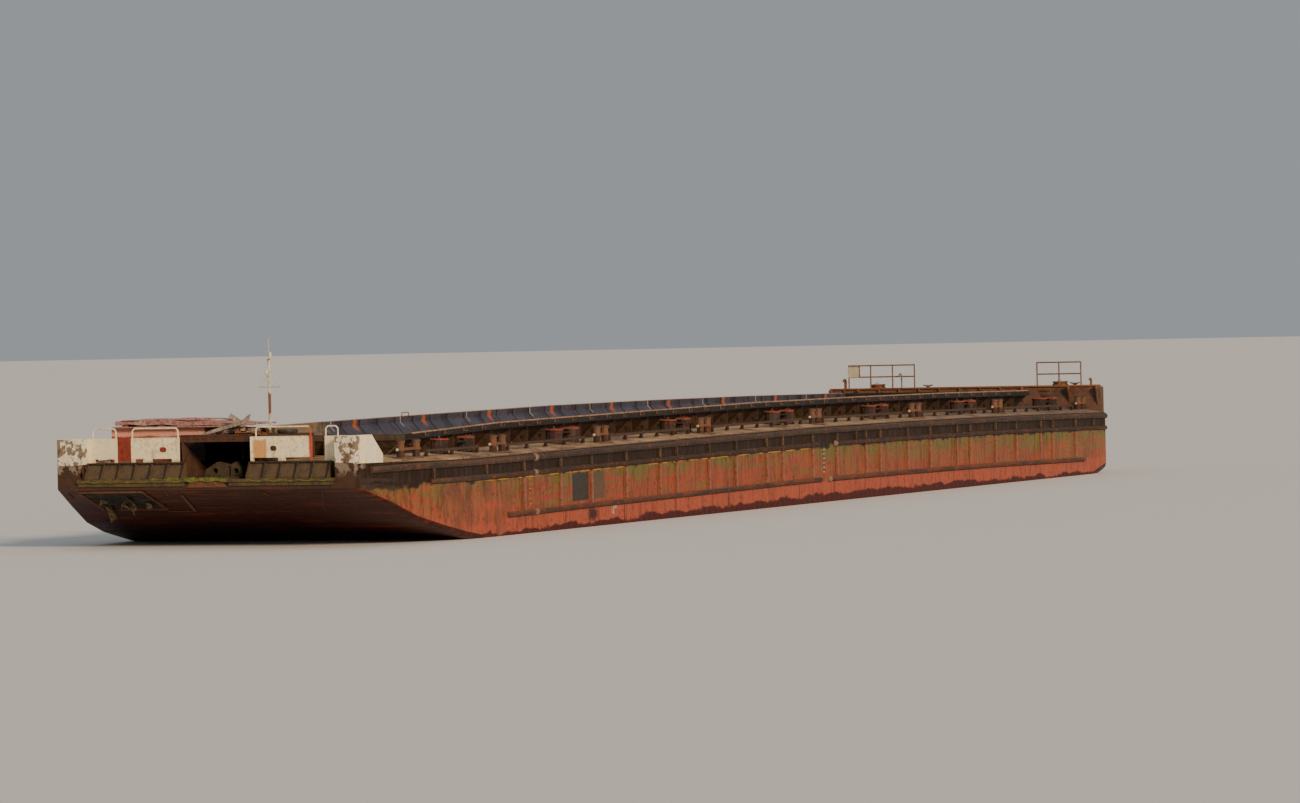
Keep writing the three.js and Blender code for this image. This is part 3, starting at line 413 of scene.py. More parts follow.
def deckFittings():
    material, tree, shader = startMaterial("wornDeckPaint")
    c, g = deckCoats, gauge(tree)
    metres, above = g["metres"], g["above"]
    plate = addNode(tree, "MapRange", Value=above, From_Min=0.085, From_Max=0.06)
    fitting = addNode(tree, "Math", minus, at0=1.0, at1=plate)
    outboard = addNode(tree, "MapRange", Value=g["off"], From_Min=6.4, From_Max=6.44)
    high = addNode(tree, "MapRange", Value=above, From_Min=0.34, From_Max=0.38)
    fleck = rustPatches(tree, metres, 0.1, 0.52, 0.64)
    patch = rustPatches(tree, metres, 0.45, 0.46, 0.6, (1, 1, 1.6))
    broad = rustPatches(tree, metres, 1.6, 0.44, 0.6)
    coats = [
        (c["deckDark"], 0.8, broad),
        (c["deckPale"], 0.6, rustPatches(tree, metres, 2.2, 0.48, 0.64)),
        (c["deckAft"], 0.75, addNode(tree, "MapRange", soft, Value=g["aft"], From_Min=40.0, From_Max=80.0)),
        (c["trunk"], 1, fitting),
        (c["trunkPale"], 0.7, fitting, patch),
        (c["rim"], 0.8, paintBand(tree, above, 0.6, 0.7, 0.01),
         addNode(tree, "Math", minus, at0=1.0, at1=outboard)),
        (c["guard"], 1, fitting, outboard),
        (c["bollard"], 1, outboard, high),
        (c["rust"], 0.7, fleck, broad),
        (c["rust"], 0.2, fitting, rustPatches(tree, metres, 0.5, 0.52, 0.66, (1, 1, 2.5))),
        (c["grime"], 0.7, fitting, addNode(tree, "MapRange", Value=above, From_Min=0.16, From_Max=0.06)),
        (c["grime"], 0.6, plate, patch, broad),
    ]
    seams = plateSeams(tree, g["aft"], 3.0, 0.03)
    dress(tree, shader, layCoats(tree, c["deck"], coats), patch, 0.9, 0.7,
          [(rustPatches(tree, metres, 1.2, 0.2, 0.8), 0.02), (fleck, 0.008), (seams, -0.01)])
    return material


# Cargo box plating: dark steel inside with a painted reflection of the sky in its blue-grey, polished by
# sand, brown outside, with welded seams
boxCoats = {"inside": "2d2c39", "insidePaleAndHighlight": "474655", "outside": "33251c", "rail": "261d19",
            "railTopHighlight": "6e5b4c", "endFace": "594b38", "sand": "88704f", "knee": "4c3a2c", "seam": "0b0a0e",
            "wedge": "b8581f", "mark": "c4c0b4", "rust": "5c3822"}


def boxPlating():
    material, tree, shader = startMaterial("scouredBoxPlating")
    c, g = boxCoats, gauge(tree)
    metres, aft, above = g["metres"], g["aft"], g["above"]
    inward = addNode(tree, "Math", times, at0=g["across"], at1=g["aside"])
    outer = addNode(tree, "MapRange", Value=inward, From_Min=-1.0, From_Max=-0.5)
    inside = addNode(tree, "MapRange", Value=inward, From_Min=-0.5, From_Max=-1.5)
    leaning = addNode(tree, "Math", {"operation": "MULTIPLY_ADD"}, at0=above, at1=-0.35, at2=aft)
    seam = plateSeams(tree, leaning, 1.75, 0.1, 0.6)
    patch = rustPatches(tree, metres, 0.9, 0.46, 0.62, (1, 1, 0.6))
    streak = rustPatches(tree, metres, 0.35, 0.5, 0.66, (0.7, 1, 4), 3)
    top = addNode(tree, "MapRange", Value=g["up"], From_Min=0.8, From_Max=0.95)
    railZone = addNode(tree, "MapRange", Value=above, From_Min=0.55, From_Max=0.58)
    foreEnd = raggedEdge(tree, aft, metres, 1.5, 2.4)
    sandy = addNode(tree, "MapRange", soft, Value=foreEnd, From_Min=21.6, From_Max=20.2)
    bare = addNode(tree, "Math", minus, at0=1.0, at1=sandy)
    farWall = addNode(tree, "MapRange", Value=g["across"], From_Min=0.0, From_Max=-1.0)
    coats = [
        (c["insidePaleAndHighlight"], 0.8, patch),
        (c["outside"], 1, outer),
        (c["rust"], 0.6, streak),
        (c["rust"], 0.5, patch, outer),
        # Painted highlight: one side of each buckled plate strip lighter, as the light catches it
        (c["insidePaleAndHighlight"], 0.6, inside, plateSeams(tree, leaning, 1.75, 0.75, 1.2)),
        # Painted light: the forward faces of the knees are a lit copy of the brown outer plating
        (c["knee"], 0.85, outer, addNode(tree, "MapRange", Value=g["ahead"], From_Min=0.4, From_Max=0.7)),
        (c["rail"], 1, railZone, outer),
        (c["seam"], 0.85, seam, inside),
        (c["wedge"], 0.85, plateSeams(tree, leaning, 6.83, 0.22, 22.9), inside,
         addNode(tree, "MapRange", Value=above, From_Min=0.45, From_Max=0.7), bare),
        (c["mark"], 0.75, plateSeams(tree, aft, 6.78, 0.045, 27.7), inside, railZone, bare),
        # Painted highlight: the top faces of the rail lighter
        (c["railTopHighlight"], 1, top, railZone),
        (c["sand"], 0.88, sandy, farWall, inside, rustPatches(tree, metres, 0.8, 0.26, 0.44)),
        (c["sand"], 0.75, top, farWall,
         addNode(tree, "MapRange", soft, Value=aft, From_Min=24.5, From_Max=22.5)),
        (c["endFace"], 0.85, addNode(tree, "MapRange", Value=g["ahead"], From_Min=0.5, From_Max=0.7),
         paintBand(tree, aft, 7.0, 8.0)),
    ]
    # The inside base colour is dark steel with a painted reflection of the sky in its blue-grey
    dress(tree, shader, layCoats(tree, c["inside"], coats), patch, 0.6, 0.45,
          [(rustPatches(tree, metres, 0.8, 0.2, 0.8, (1, 1, 0.7)), 0.05), (seam, -0.015), (streak, 0.006)])
    return material


# Every other finish is painted or bare steel, wood or rubber left out in the weather, so one tree serves
# them with its own numbers. The coats of each are its base, its patches, its drips down the faces and its
# specks. Size is that of a patch in real metres, dry the roughness beside a patch and worn that on it.
def weatheredSteel(name, look):
    material, tree, shader = startMaterial(name)
    g = gauge(tree)
    metres = g["metres"]
    size = look.get("size", 0.5)
    patch = rustPatches(tree, metres, size, *look.get("spread", (0.46, 0.6)))
    speck = rustPatches(tree, metres, size * 0.18, 0.52, 0.64)
    drips = rustPatches(tree, metres, size * 0.4, 0.5, 0.66, (0.6, 0.6, 6), 3)
    upward = addNode(tree, "MapRange", Value=g["up"], From_Min=0.6, From_Max=0.85)
    measure, low, high = look.get("patchWhere", ("height", -9, 99))
    where = paintBand(tree, g[measure], low, high)
    base, patchColour, dripColour, speckColour = look["coats"].split()
    coats = [(patchColour, 0.85, patch, where), (dripColour, look.get("dripCover", 0.6), drips),
             (speckColour, look.get("speckCover", 0.7), speck)]
    if "top" in look:
        coats.append((look["top"], 0.85, upward, rustPatches(tree, metres, size * 1.5, 0.36, 0.56)))
    for hexText, cover, *limits in look.get("bands", []):
        masks = []
        for measure, low, high in limits:
            edge = raggedEdge(tree, g[measure], metres, size * 0.6, look.get("ragged", 0.08))
            masks.append(paintBand(tree, edge, low, high, look.get("fade", 0.05)))
        coats.append((hexText, cover, *masks))
    dents = rustPatches(tree, metres, size * 2, 0.2, 0.8)
    dress(tree, shader, layCoats(tree, base, coats), patch, look.get("dry", 0.85), look.get("worn", 0.65),
          [(dents, look.get("dent", 0.015)), (speck, 0.006)])
    return material


finishes = {
    # brushed cream alkyd paint, rust bleeding from the panel edges
    "bulwarkCream": {
        "coats": "fbecc2 ead8aa c4a268 a9682f", "size": 0.7, "spread": (0.52, 0.7), "dripCover": 0.4,
        "speckCover": 0.35, "dry": 0.6, "worn": 0.8,
        "bands": [("d18a3a", 0.85, ("across", 1.9, 2.45), ("height", 3.9, 4.62)),
                  ("b8401c", 0.95, ("across", 4.26, 4.45)), ("a87a44", 0.6, ("height", 3.7, 3.86)),
                  ("a83a22", 0.9, ("across", -2.18, -1.82), ("height", 4.12, 4.38), ("ahead", -0.5, 0.5))],
    },
    # white gloss paint that has peeled off the corners in sheets and left brown rust
    "peelingWhite": {
        "coats": "f3e8cb 5f452f a8845c 6e4a30", "size": 0.34, "spread": (0.49, 0.52),
        "patchWhere": ("aft", -1, 0.3), "dripCover": 0.35, "speckCover": 0.3, "ragged": 0.3, "dry": 0.55,
        "worn": 0.85,
        "bands": [("41362a", 0.95, ("height", 2.9, 3.62), ("aft", -1, 0.25)),
                  ("5c3d28", 0.8, ("aft", -1, 0.12), ("across", 5.86, 6.5), ("height", 3, 4.62)),
                  ("563b28", 0.85, ("aft", -1, 0.12), ("across", -6.5, -6.12), ("height", 3, 4.62)),
                  ("f6e6ba", 0.85, ("aft", 0.42, 0.75), ("height", 3, 5))],
    },
    # headlog plating at the bow: bare steel that stays wet, brown with a film of algae
    "headlogSteel": {"coats": "5a4935 42342a 5f5030 684020", "top": "55501f", "size": 0.45,
                     "speckCover": 0.4},
    "headlogBeam": {"coats": "57482a 3c2f1f 655426 7a4826", "top": "5f5f26", "size": 0.4,
                    "speckCover": 0.5},
    # red oxide paint on the winch house, faded to orange by the sun, with a near-black patch that is
    # painted shade of its dark inside
    "houseRed": {"coats": "9c4334 8c3f32 803824 6a3022", "top": "96503c", "size": 0.9,
                 "bands": [("f5ad92", 0.9, ("height", 4.76, 5.08)),
                           ("17100d", 0.97, ("across", -2.7, -1.2), ("height", 2.5, 4.56))], "dent": 0.03},
    # loose cover plates, pink where the paint has chalked
    "chalkedPlate": {"coats": "b3837a c9a294 8a5a50 63402f", "top": "ba8d82", "size": 0.6, "dent": 0.04},
    # old rust on plating that never dries: brown-black, scaling
    "scaleRust": {"coats": "4c3224 33231a 6a3c20 74452a", "top": "503626", "size": 0.5,
                  "dent": 0.03, "dry": 0.92, "worn": 0.8},
    "lugRust": {"coats": "4c3e2c 33291d 4e3e22 604626", "top": "4a4522", "size": 0.25},
    # mast: white paint over red primer, worn through in the middle length
    "mastPaint": {"coats": "f3edda cfc6b2 9a7a5c 7a5238", "size": 0.2, "ragged": 0.1, "dry": 0.5,
                  "worn": 0.7, "bands": [("7c4024", 0.95, ("height", 5.58, 6.38))]},
    # stern wall and railing steel: brown paint, orange rust along the top edge
    "sternBrown": {"coats": "6e5242 4a382f 6c4634 7c4a32", "size": 0.6,
                   "bands": [("a8622c", 0.35, ("height", 4.78, 5.0))], "dent": 0.03},
    "railingRust": {"coats": "8a684f 62463a 9c6a48 4c392a", "size": 0.25,
                    "bands": [("d0c4a8", 0.9, ("across", -6.38, -5.8), ("height", 5.5, 6.05))]},
    "platformGrey": {"coats": "746b5f 584f45 624a38 806048", "top": "857b6c", "size": 0.9},
    # red lead on lids and rims, brick red, rubbed to bright rust at the edges
    "lidRedLead": {"coats": "8e4432 5e3226 6a4030 b06a4a", "top": "5c4135", "size": 0.25},
}
made = {name: weatheredSteel(name, look) for name, look in finishes.items()}
made.update(redLead=redLeadPrimer(), fender=fenderSteel(), deck=deckFittings(), box=boxPlating())

# Which finish each CAD node wears, by the start of its name. The longest start wins.
nodeFinish = {
    "hull": "redLead", "rubbing_frame": "fender", "side_deck": "deck", "cargo_wall": "box",
    "trunk_lid": "lidRedLead", "bow_ramp": "headlogSteel", "bow_beam": "headlogBeam",
    "bow_bulwark": "bulwarkCream", "bow_corner": "peelingWhite", "coupling_lugs": "lugRust",
    "recess_roof": "scaleRust", "recess_cheek": "scaleRust", "winch_house": "houseRed",
    "winch_house_cover": "chalkedPlate", "mast_shoe": "lugRust", "signal_mast": "mastPaint",
    "push_wall": "sternBrown", "stern_platform": "platformGrey", "stern_railing": "railingRust",
    "stern_hatch": "sternBrown", "stern_lid": "lidRedLead",
}
for name, node in nodes.items():
    start = max((s for s in nodeFinish if name.startswith(s)), key=len)
    if not node.material_slots:
        node.data.materials.append(None)
    for seat in node.material_slots:
        seat.material = made[nodeFinish[start]]

print("stage: bench tools")


def settle(piece, name, finish, body="barge", angle=35):  # names and paints a finished piece
    piece.name = piece.data.name = name
    pick(piece)
    bpy.ops.object.transform_apply(location=True, rotation=True, scale=True)
    bpy.ops.object.shade_smooth_by_angle(angle=radians(angle))
    piece.data.materials.clear()
    piece.data.materials.append(made[finish])
    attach(piece, body)


def startBlock(low, high):  # a block between two corners, in real metres off its own origin
    deselectAll()
    middle = [(a + b) / 2 * realMetre for a, b in zip(low, high)]
    size = [abs(b - a) * realMetre for a, b in zip(low, high)]
    bpy.ops.mesh.primitive_cube_add(size=1, location=middle, scale=size)
    bpy.ops.object.transform_apply(location=True, rotation=True, scale=True)
    return bpy.context.object


# A disc or bar, and a ring, in real metres and turned in degrees
def startRound(middle, radius, depth, sides=24, turn=(0, 0, 0)):
    deselectAll()
    place, angles = [m * realMetre for m in middle], [radians(t) for t in turn]
    bpy.ops.mesh.primitive_cylinder_add(vertices=sides, radius=radius * realMetre, depth=depth * realMetre,
                                        location=place, rotation=angles)
    bpy.ops.object.transform_apply(location=True, rotation=True, scale=True)
    return bpy.context.object


def startRing(middle, radius, wire, around, sides, turn=(0, 0, 0)):
    deselectAll()
    place, angles = [m * realMetre for m in middle], [radians(t) for t in turn]
    bpy.ops.mesh.primitive_torus_add(major_radius=radius * realMetre, minor_radius=wire * realMetre,
                                     major_segments=around, minor_segments=sides, location=place,
                                     rotation=angles)
    bpy.ops.object.transform_apply(location=True, rotation=True, scale=True)
    return bpy.context.object


def startSheet(lengthways, crossways, ahead, across):  # many faces between two places, in real metres
    deselectAll()
    bpy.ops.mesh.primitive_grid_add(x_subdivisions=lengthways, y_subdivisions=crossways, size=1,
                                    location=(0, 0, 0))
    sheet = bpy.context.object
    for point in sheet.data.vertices:
        point.co.x = (ahead[0] + (ahead[1] - ahead[0]) * (point.co.x + 0.5)) * realMetre
        point.co.y = (across[0] + (across[1] - across[0]) * (point.co.y + 0.5)) * realMetre
    return sheet


def anyFace(face):
    return True


def noFace(face):
    return False


def facesUp(face):
    return face.normal.z > 0.9


def facesAhead(face):
    return face.normal.x > 0.9


def endFaces(face):
    return abs(face.normal.x) > 0.9


def levelFaces(face):
    return abs(face.normal.z) > 0.9


def uprightFaces(face):
    return abs(face.normal.z) < 0.1


def openFaces(piece, wanted):  # edit mode with only the wanted faces selected
    pick(piece)
    bpy.ops.object.mode_set(mode="EDIT")
    bpy.ops.mesh.select_mode(type="FACE")
    bpy.ops.mesh.select_all(action="DESELECT")
    bpy.ops.object.mode_set(mode="OBJECT")
    for face in piece.data.polygons:
        face.select = wanted(face)
    bpy.ops.object.mode_set(mode="EDIT")


def closeFaces():
    bpy.ops.object.mode_set(mode="OBJECT")


def drawOut(*move):  # extrudes what is selected, in real metres
    bpy.ops.mesh.extrude_region_move(TRANSFORM_OT_translate={"value": [m * realMetre for m in move]})


def turnOutwards():
    bpy.ops.mesh.select_all(action="SELECT")
    bpy.ops.mesh.normals_make_consistent(inside=False)


def insetFaces(piece, wanted, *steps):  # each step is how far in and how far out, in real metres
    openFaces(piece, wanted)
    for thickness, depth in steps:
        bpy.ops.mesh.inset(thickness=thickness * realMetre, depth=depth * realMetre)
    closeFaces()


def cutFaces(piece, wanted, cuts):
    openFaces(piece, wanted)
    bpy.ops.mesh.subdivide(number_cuts=cuts)
    closeFaces()


def closeSheet(sheet, thick):  # a sheet gets sides and an underside
    openFaces(sheet, anyFace)
    drawOut(0, 0, -thick)
    turnOutwards()
    closeFaces()


def pushPoints(piece, wanted, move):  # points chosen by their place in real metres are moved
    openFaces(piece, noFace)
    bpy.ops.mesh.select_mode(type="VERT")
    bpy.ops.object.mode_set(mode="OBJECT")
    for point in piece.data.vertices:
        point.select = wanted(point.co / realMetre)
    bpy.ops.object.mode_set(mode="EDIT")
    bpy.ops.transform.translate(value=[m * realMetre for m in move])
    closeFaces()


def roundEdges(piece, width, segments=2, angle=30):
    pick(piece)
    edge = piece.modifiers.new("edges", "BEVEL")
    edge.width, edge.segments, edge.angle_limit = width * realMetre, segments, radians(angle)
    bpy.ops.object.modifier_apply(modifier=edge.name)


def weldUp(parts):  # parts of one piece, joined
    if len(parts) == 1:
        return parts[0]
    deselectAll()
    for part in parts:
        part.select_set(True)
    bpy.context.view_layer.objects.active = parts[0]
    bpy.ops.object.join()
    return bpy.context.object


def setOut(pattern, places):  # copies at their places, each (place, turn about Z), joined into one piece
    copies = []
    for place, turn in places:
        pick(pattern)
        bpy.ops.object.duplicate()
        one = bpy.context.object
        one.location, one.rotation_euler = place, (0, 0, turn)
        copies.append(one)
    deselectAll()
    for one in copies:
        one.select_set(True)
    bpy.context.view_layer.objects.active = copies[0]
    bpy.ops.object.transform_apply(location=True, rotation=True, scale=True)
    piece = weldUp(copies)
    pick(pattern)
    bpy.ops.object.delete()
    return piece


def bendToDeck(piece):  # a long piece made over a level deck takes the deck line
    openFaces(piece, noFace)
    for aft, _ in deckLine[1:-1]:
        bpy.ops.mesh.select_all(action="SELECT")
        bpy.ops.mesh.bisect(plane_co=((halfLength - aft) * realMetre, 0, 0), plane_no=(1, 0, 0))
    closeFaces()
    for point in piece.data.vertices:
        point.co.z += along(deckLine, halfLength - point.co.x / realMetre) * realMetre


fittingFinishes = {
    # wood left out for years: grey pine with the grain standing up
    "greyPine": {"coats": "a09282 c2b5a2 6a5646 55463a", "size": 0.3, "dent": 0.01},
    # scrap iron, orange and brown
    "scrapIron": {"coats": "8a4a30 5a3426 a8663c c07840", "size": 0.2},
    # tyre rubber, grey with dust
    "dustyRubber": {"coats": "3a3733 55504a 2c2926 6a645b", "size": 0.2, "dry": 0.95},
    # moss and algae on wet steel: soft, yellow-green, lumpy
    "wetMoss": {"coats": "6a6c26 4a4a1e 80803a 3b3420", "size": 0.3, "dry": 0.98, "worn": 0.9},
    # welded ticks on the side, some painted orange and some white
    "markOrange": {"coats": "c98a3c 8a5a35 a86a3a 6e4630", "size": 0.1},
    "markWhite": {"coats": "cfc6b4 9a8470 a08468 7a5a44", "size": 0.1},
    # joint caps of the fenders, galvanised sheet gone pinkish grey
    "capSteel": {"coats": "8f7668 6f584c 8c5f48 6b4a3a", "size": 0.2},
    # bare steel worn by years of mooring: brown with a dull shine
    "wornSteel": {"coats": "6f5647 503e34 8a5a3c 9c8474", "size": 0.2, "dry": 0.7, "worn": 0.5},
    # steel of the trunks and bollard heads, nearly black with old grease
    "trunkSteel": {"coats": "41322b 2e2420 5c4436 7a5c4a", "size": 0.2, "dry": 0.75, "worn": 0.55},
    # rail edge painted light, a painted highlight line along the top of the rail
    "highlightEdge": {"coats": "ab8a70 8a6c56 7a5038 5c4232", "size": 0.5, "dry": 0.6, "worn": 0.4},
    # sand and grain dust drifted along the box floor
    "driftedSand": {"coats": "a5875f 8a6d4b b89a70 6e573c", "size": 0.8, "dry": 1.0, "worn": 0.95},
    "knobWhite": {"coats": "cfc8b8 a89c8a b0a08a 8a7460", "size": 0.1, "dry": 0.5},
}
made.update({name: weatheredSteel(name, look) for name, look in fittingFinishes.items()})


def signalGlass():  # moulded acrylic lens of a signal lamp: clear, faintly yellowed, dusty
    material, tree, shader = startMaterial("signalGlass")
    g = gauge(tree)
    dust = rustPatches(tree, g["metres"], 0.05, 0.45, 0.65)
    colour = layCoats(tree, "e9e6d8", [("b9b09a", 0.6, dust)])
    shader.inputs["IOR"].default_value = 1.49
    dress(tree, shader, colour, dust, 0.18, 0.5, [(plateSeams(tree, g["height"], 0.03, 0.01), 0.004)])
    return material


made["signalGlass"] = signalGlass()

print("stage: fender caps and draught marks")
fenderCap = {"length": 0.24, "proud": 0.025, "radius": {"upper": 0.14, "middle": 0.11, "lower": 0.12},
             "places": [(14.0, "upper"), (14.0, "middle"), (14.0, "lower"), (46.33, "lower"),
                        (47.12, "middle")]}


def addFenderCaps(side, name):
    parts = []
    for aft, run in fenderCap["places"]:
        radius = fenderCap["radius"][run] + fenderCap["proud"]
        height = along(deckLine, aft) - fenderDrop[run]
        seat = Vector((halfLength - aft, side * along(hullHalf, aft), height))
        cap = startRound(seat, radius, fenderCap["length"], 20, (0, 90, 0))
        openFaces(cap, endFaces)
        bpy.ops.mesh.inset(thickness=0.03 * realMetre, depth=0.015 * realMetre)
        bpy.ops.mesh.select_all(action="SELECT")
        skin = (seat + Vector((0, side * 0.004, 0))) * realMetre
        bpy.ops.mesh.bisect(plane_co=skin, plane_no=(0, side, 0), clear_inner=True, use_fill=True)
        closeFaces()
        roundEdges(cap, 0.01)
        parts.append(cap)
    settle(weldUp(parts), f"fenderCaps_{name}", "capSteel")


draughtMarks = {"pitch": 0.2, "long": 0.16, "short": 0.09, "high": 0.045, "thick": 0.014,
                "rows": [(13.5, 1.0, 2.7, "markOrange"), (45.7, 1.0, 2.8, "markWhite"),
                         (79.1, 1.0, 2.2, "markOrange")]}


def addDraughtMarks(side, name):
    d = draughtMarks
    for row, (aft, top, foot, finish) in enumerate(d["rows"], 1):
        parts = []
        for n in range(int((foot - top) / d["pitch"])):
            drop = top + n * d["pitch"]
            if abs(drop - fenderDrop["lower"]) < 0.17:
                continue
            reach = d["long"] if n % 2 == 0 else d["short"]
            x, y, z = halfLength - aft, side * halfBeam, along(deckLine, aft) - drop
            mark = startBlock((x - reach, y, z - d["high"] / 2),
                              (x + d["short"], y + side * d["thick"], z + d["high"] / 2))
            insetFaces(mark, lambda face: face.normal.y * side > 0.9, (0.008, 0.006))
            parts.append(mark)
        settle(weldUp(parts), f"draughtMarks_{name}_{row}", finish)


for name, side in sides.items():
    addFenderCaps(side, name)
    addDraughtMarks(side, name)

print("stage: trunk fittings")
trunkFlange = {"radius": 0.4, "thick": 0.03, "lip": 0.03, "bolts": 12, "boltRadius": 0.022,
               "boltCircle": 0.345, "eye": 0.06, "eyeWire": 0.014}


def trunkPlaces(side, capped):
    which = 0 if capped else 1
    return [(onDeck(pair[which], side * trunkAcross), 0) for pair in trunkPairs]


def addTrunkFlanges(side, name):
    f = trunkFlange
    flange = startRound((0, 0, stripTop + f["thick"] / 2), f["radius"], f["thick"])
    openFaces(flange, facesUp)
    bpy.ops.mesh.inset(thickness=0.065 * realMetre)
    drawOut(0, 0, f["lip"])
    closeFaces()
    roundEdges(flange, 0.01)
    weld = startBlock((trunkRadius - 0.01, -0.014, stripTop), (trunkRadius + 0.008, 0.014, 0.52))
    roundEdges(weld, 0.004, 1)
    weld.rotation_euler = (0, 0, 2.2)
    piece = setOut(weldUp([flange, weld]), trunkPlaces(side, True) + trunkPlaces(side, False))
    settle(piece, f"trunkFlanges_{name}", "trunkSteel")


def addTrunkBolts(side, name):  # the bolt ring and lifting eye of the caps that are rusted shut
    f = trunkFlange
    top = trunkHeight + 0.05
    bolts = []
    for n in range(f["bolts"]):
        turn = tau * n / f["bolts"]
        seat = (f["boltCircle"] * cos(turn), f["boltCircle"] * sin(turn), top + 0.012)
        bolts.append(startRound(seat, f["boltRadius"], 0.03, 6))
    eye = startRing((0, 0, top + 0.05), f["eye"], f["eyeWire"], 20, 8, (90, 0, 0))
    pushPoints(eye, lambda p: p.z < top + 0.02, (0, 0, -0.01))
    pad = startRound((0, 0, top + 0.01), 0.12, 0.03, 16)
    roundEdges(pad, 0.012)
    for bolt in bolts:
        roundEdges(bolt, 0.006, 1)
    piece = setOut(weldUp(bolts + [eye, pad]), trunkPlaces(side, True))
    settle(piece, f"trunkBolts_{name}", "lidRedLead")


lidBand = {"radius": 0.348, "thick": 0.022, "strapOff": (-0.17, 0.17), "strapWide": 0.05}


def addLidBands(side, name):  # the raised rim and cross straps of a loose lid ride with it
    for n, pair in enumerate(trunkPairs, 1):
        top = trunkHeight + 0.053
        rim = startRound((0, 0, top + lidBand["thick"] / 2), lidBand["radius"], lidBand["thick"], 28)
        openFaces(rim, facesUp)
        bpy.ops.mesh.inset(thickness=0.035 * realMetre)
        drawOut(0, 0, -0.016)
        closeFaces()
        half = lidBand["strapWide"] / 2
        straps = [startBlock((-0.31, y - half, top + 0.002), (0.36, y + half, top + 0.026))
                  for y in lidBand["strapOff"]]
        for strap in straps:
            insetFaces(strap, facesUp, (0.008, 0.008))
        roundEdges(rim, 0.006)
        piece = setOut(weldUp([rim] + straps), [(onDeck(pair[1], side * trunkAcross), 0)])
        settle(piece, f"lidBand_{name}_{n}", "lidRedLead", f"trunk_lid_{name}_{n}")


for name, side in sides.items():
    addTrunkFlanges(side, name)
    addTrunkBolts(side, name)
    addLidBands(side, name)

print("stage: bollards, guard rails and deck eyes")
bollardTrim = {"cap": 0.185, "capThick": 0.035, "height": 0.708, "plate": 0.26, "plateHalf": 0.28,
               "knob": 0.062, "knobOut": 0.31, "foot": 0.028, "post": 0.68, "barShare": 0.52}


def bollardPosts(side):
    return [(onDeck(aft + end * spread / 2, side * across), 0)
            for aft, spread, across in bollards for end in (-1, 1)]


def addBollardTrim(side, name):
    b = bollardTrim
    cap = startRound((0, 0, b["height"] + b["capThick"] / 2), b["cap"], b["capThick"], 20)
    insetFaces(cap, facesUp, (0.06, 0.014), (0.07, 0.008))
    roundEdges(cap, 0.01, 2, 25)
    collar = startRound((0, 0, stripTop + 0.02), 0.18, 0.04, 20)
    roundEdges(collar, 0.012)
    piece = setOut(weldUp([collar, cap]), bollardPosts(side))
    settle(piece, f"bollardTrim_{name}", "trunkSteel")


def addBollardPlates(side, name):  # one doubler plate under both posts
    plates = []
    for aft, spread, across in bollards:
        half = spread / 2 + bollardTrim["plate"]
        place = Vector((halfLength - aft, side * across, deckHeight(aft, across)))
        wide = bollardTrim["plateHalf"]
        plate = startBlock(place + Vector((-half, -wide, 0.03)),
                           place + Vector((half, wide, stripTop + 0.022)))
        insetFaces(plate, facesUp, (0.03, 0.008))
        roundEdges(plate, 0.02)
        plates.append(plate)
    settle(weldUp(plates), f"bollardPlates_{name}", "wornSteel")


def addBollardKnobs(side, name):  # white painted end of the cross bar
    b, knobs = bollardTrim, []
    for aft, spread, across in bollards:
        bar = deckHeight(aft, across) + b["foot"] + b["post"] * b["barShare"]
        seat = (halfLength - aft + spread / 2 + b["knobOut"], side * across, bar)
        knob = startRound(seat, b["knob"], 0.06, 16, (0, 90, 0))
        insetFaces(knob, facesAhead, (0.03, 0.025))
        roundEdges(knob, 0.012)
        knobs.append(knob)
    settle(weldUp(knobs), f"bollardKnobs_{name}", "knobWhite")


# Fore end, aft end and number of posts of each length of guard rail
guardRuns = [(5.6, 10.4, 3), (13, 20.6, 5), (23.2, 31.8, 6), (34.4, 44.9, 7), (47.5, 57.6, 7),
             (60.4, 69.2, 6), (71.8, 82.2, 7)]
guardFoot = {"reach": 0.15, "high": 0.2, "thick": 0.03}


def guardAcross(fore):  # the first length stands further in, where the hull narrows
    return 6.7 if fore < 6 else 6.8


def addGuardFeet(side, name):  # three-cornered brackets inboard of the guard rail posts
    f = guardFoot
    fin = startBlock((-f["thick"] / 2, 0, stripTop), (f["thick"] / 2, -f["reach"], stripTop + f["high"]))
    pushPoints(fin, lambda p: p.y < -f["reach"] + 0.01 and p.z > 0.1, (0, f["reach"] - 0.03, 0))
    insetFaces(fin, endFaces, (0.02, -0.005))
    places = []
    for fore, aft, posts in guardRuns:
        across = guardAcross(fore)
        for n in range(posts):
            place = fore + 0.05 + (aft - fore - 0.1) * n / (posts - 1)
            places.append((onDeck(place, side * (across - 0.03)), 0 if side > 0 else pi))
    settle(setOut(fin, places), f"guardFeet_{name}", "trunkSteel")


guardBar = {"wide": 0.085, "top": 0.34, "under": 0.27}


def addGuardBars(side, name):  # flat bars on top of the guard rails
    bars = []
    for fore, aft, _ in guardRuns:
        y = side * guardAcross(fore)
        rise = along(camber, abs(y))
        bar = startBlock((halfLength - aft, y - guardBar["wide"] / 2, guardBar["under"] + rise),
                         (halfLength - fore, y + guardBar["wide"] / 2, guardBar["top"] + rise))
        insetFaces(bar, endFaces, (0.012, 0.006))
        bendToDeck(bar)
        bars.append(bar)
    settle(weldUp(bars), f"guardBars_{name}", "trunkSteel")


deckEye = {"radius": 0.06, "wire": 0.014, "from": 9.6, "pitch": 3.4, "count": 21, "across": 5.45}


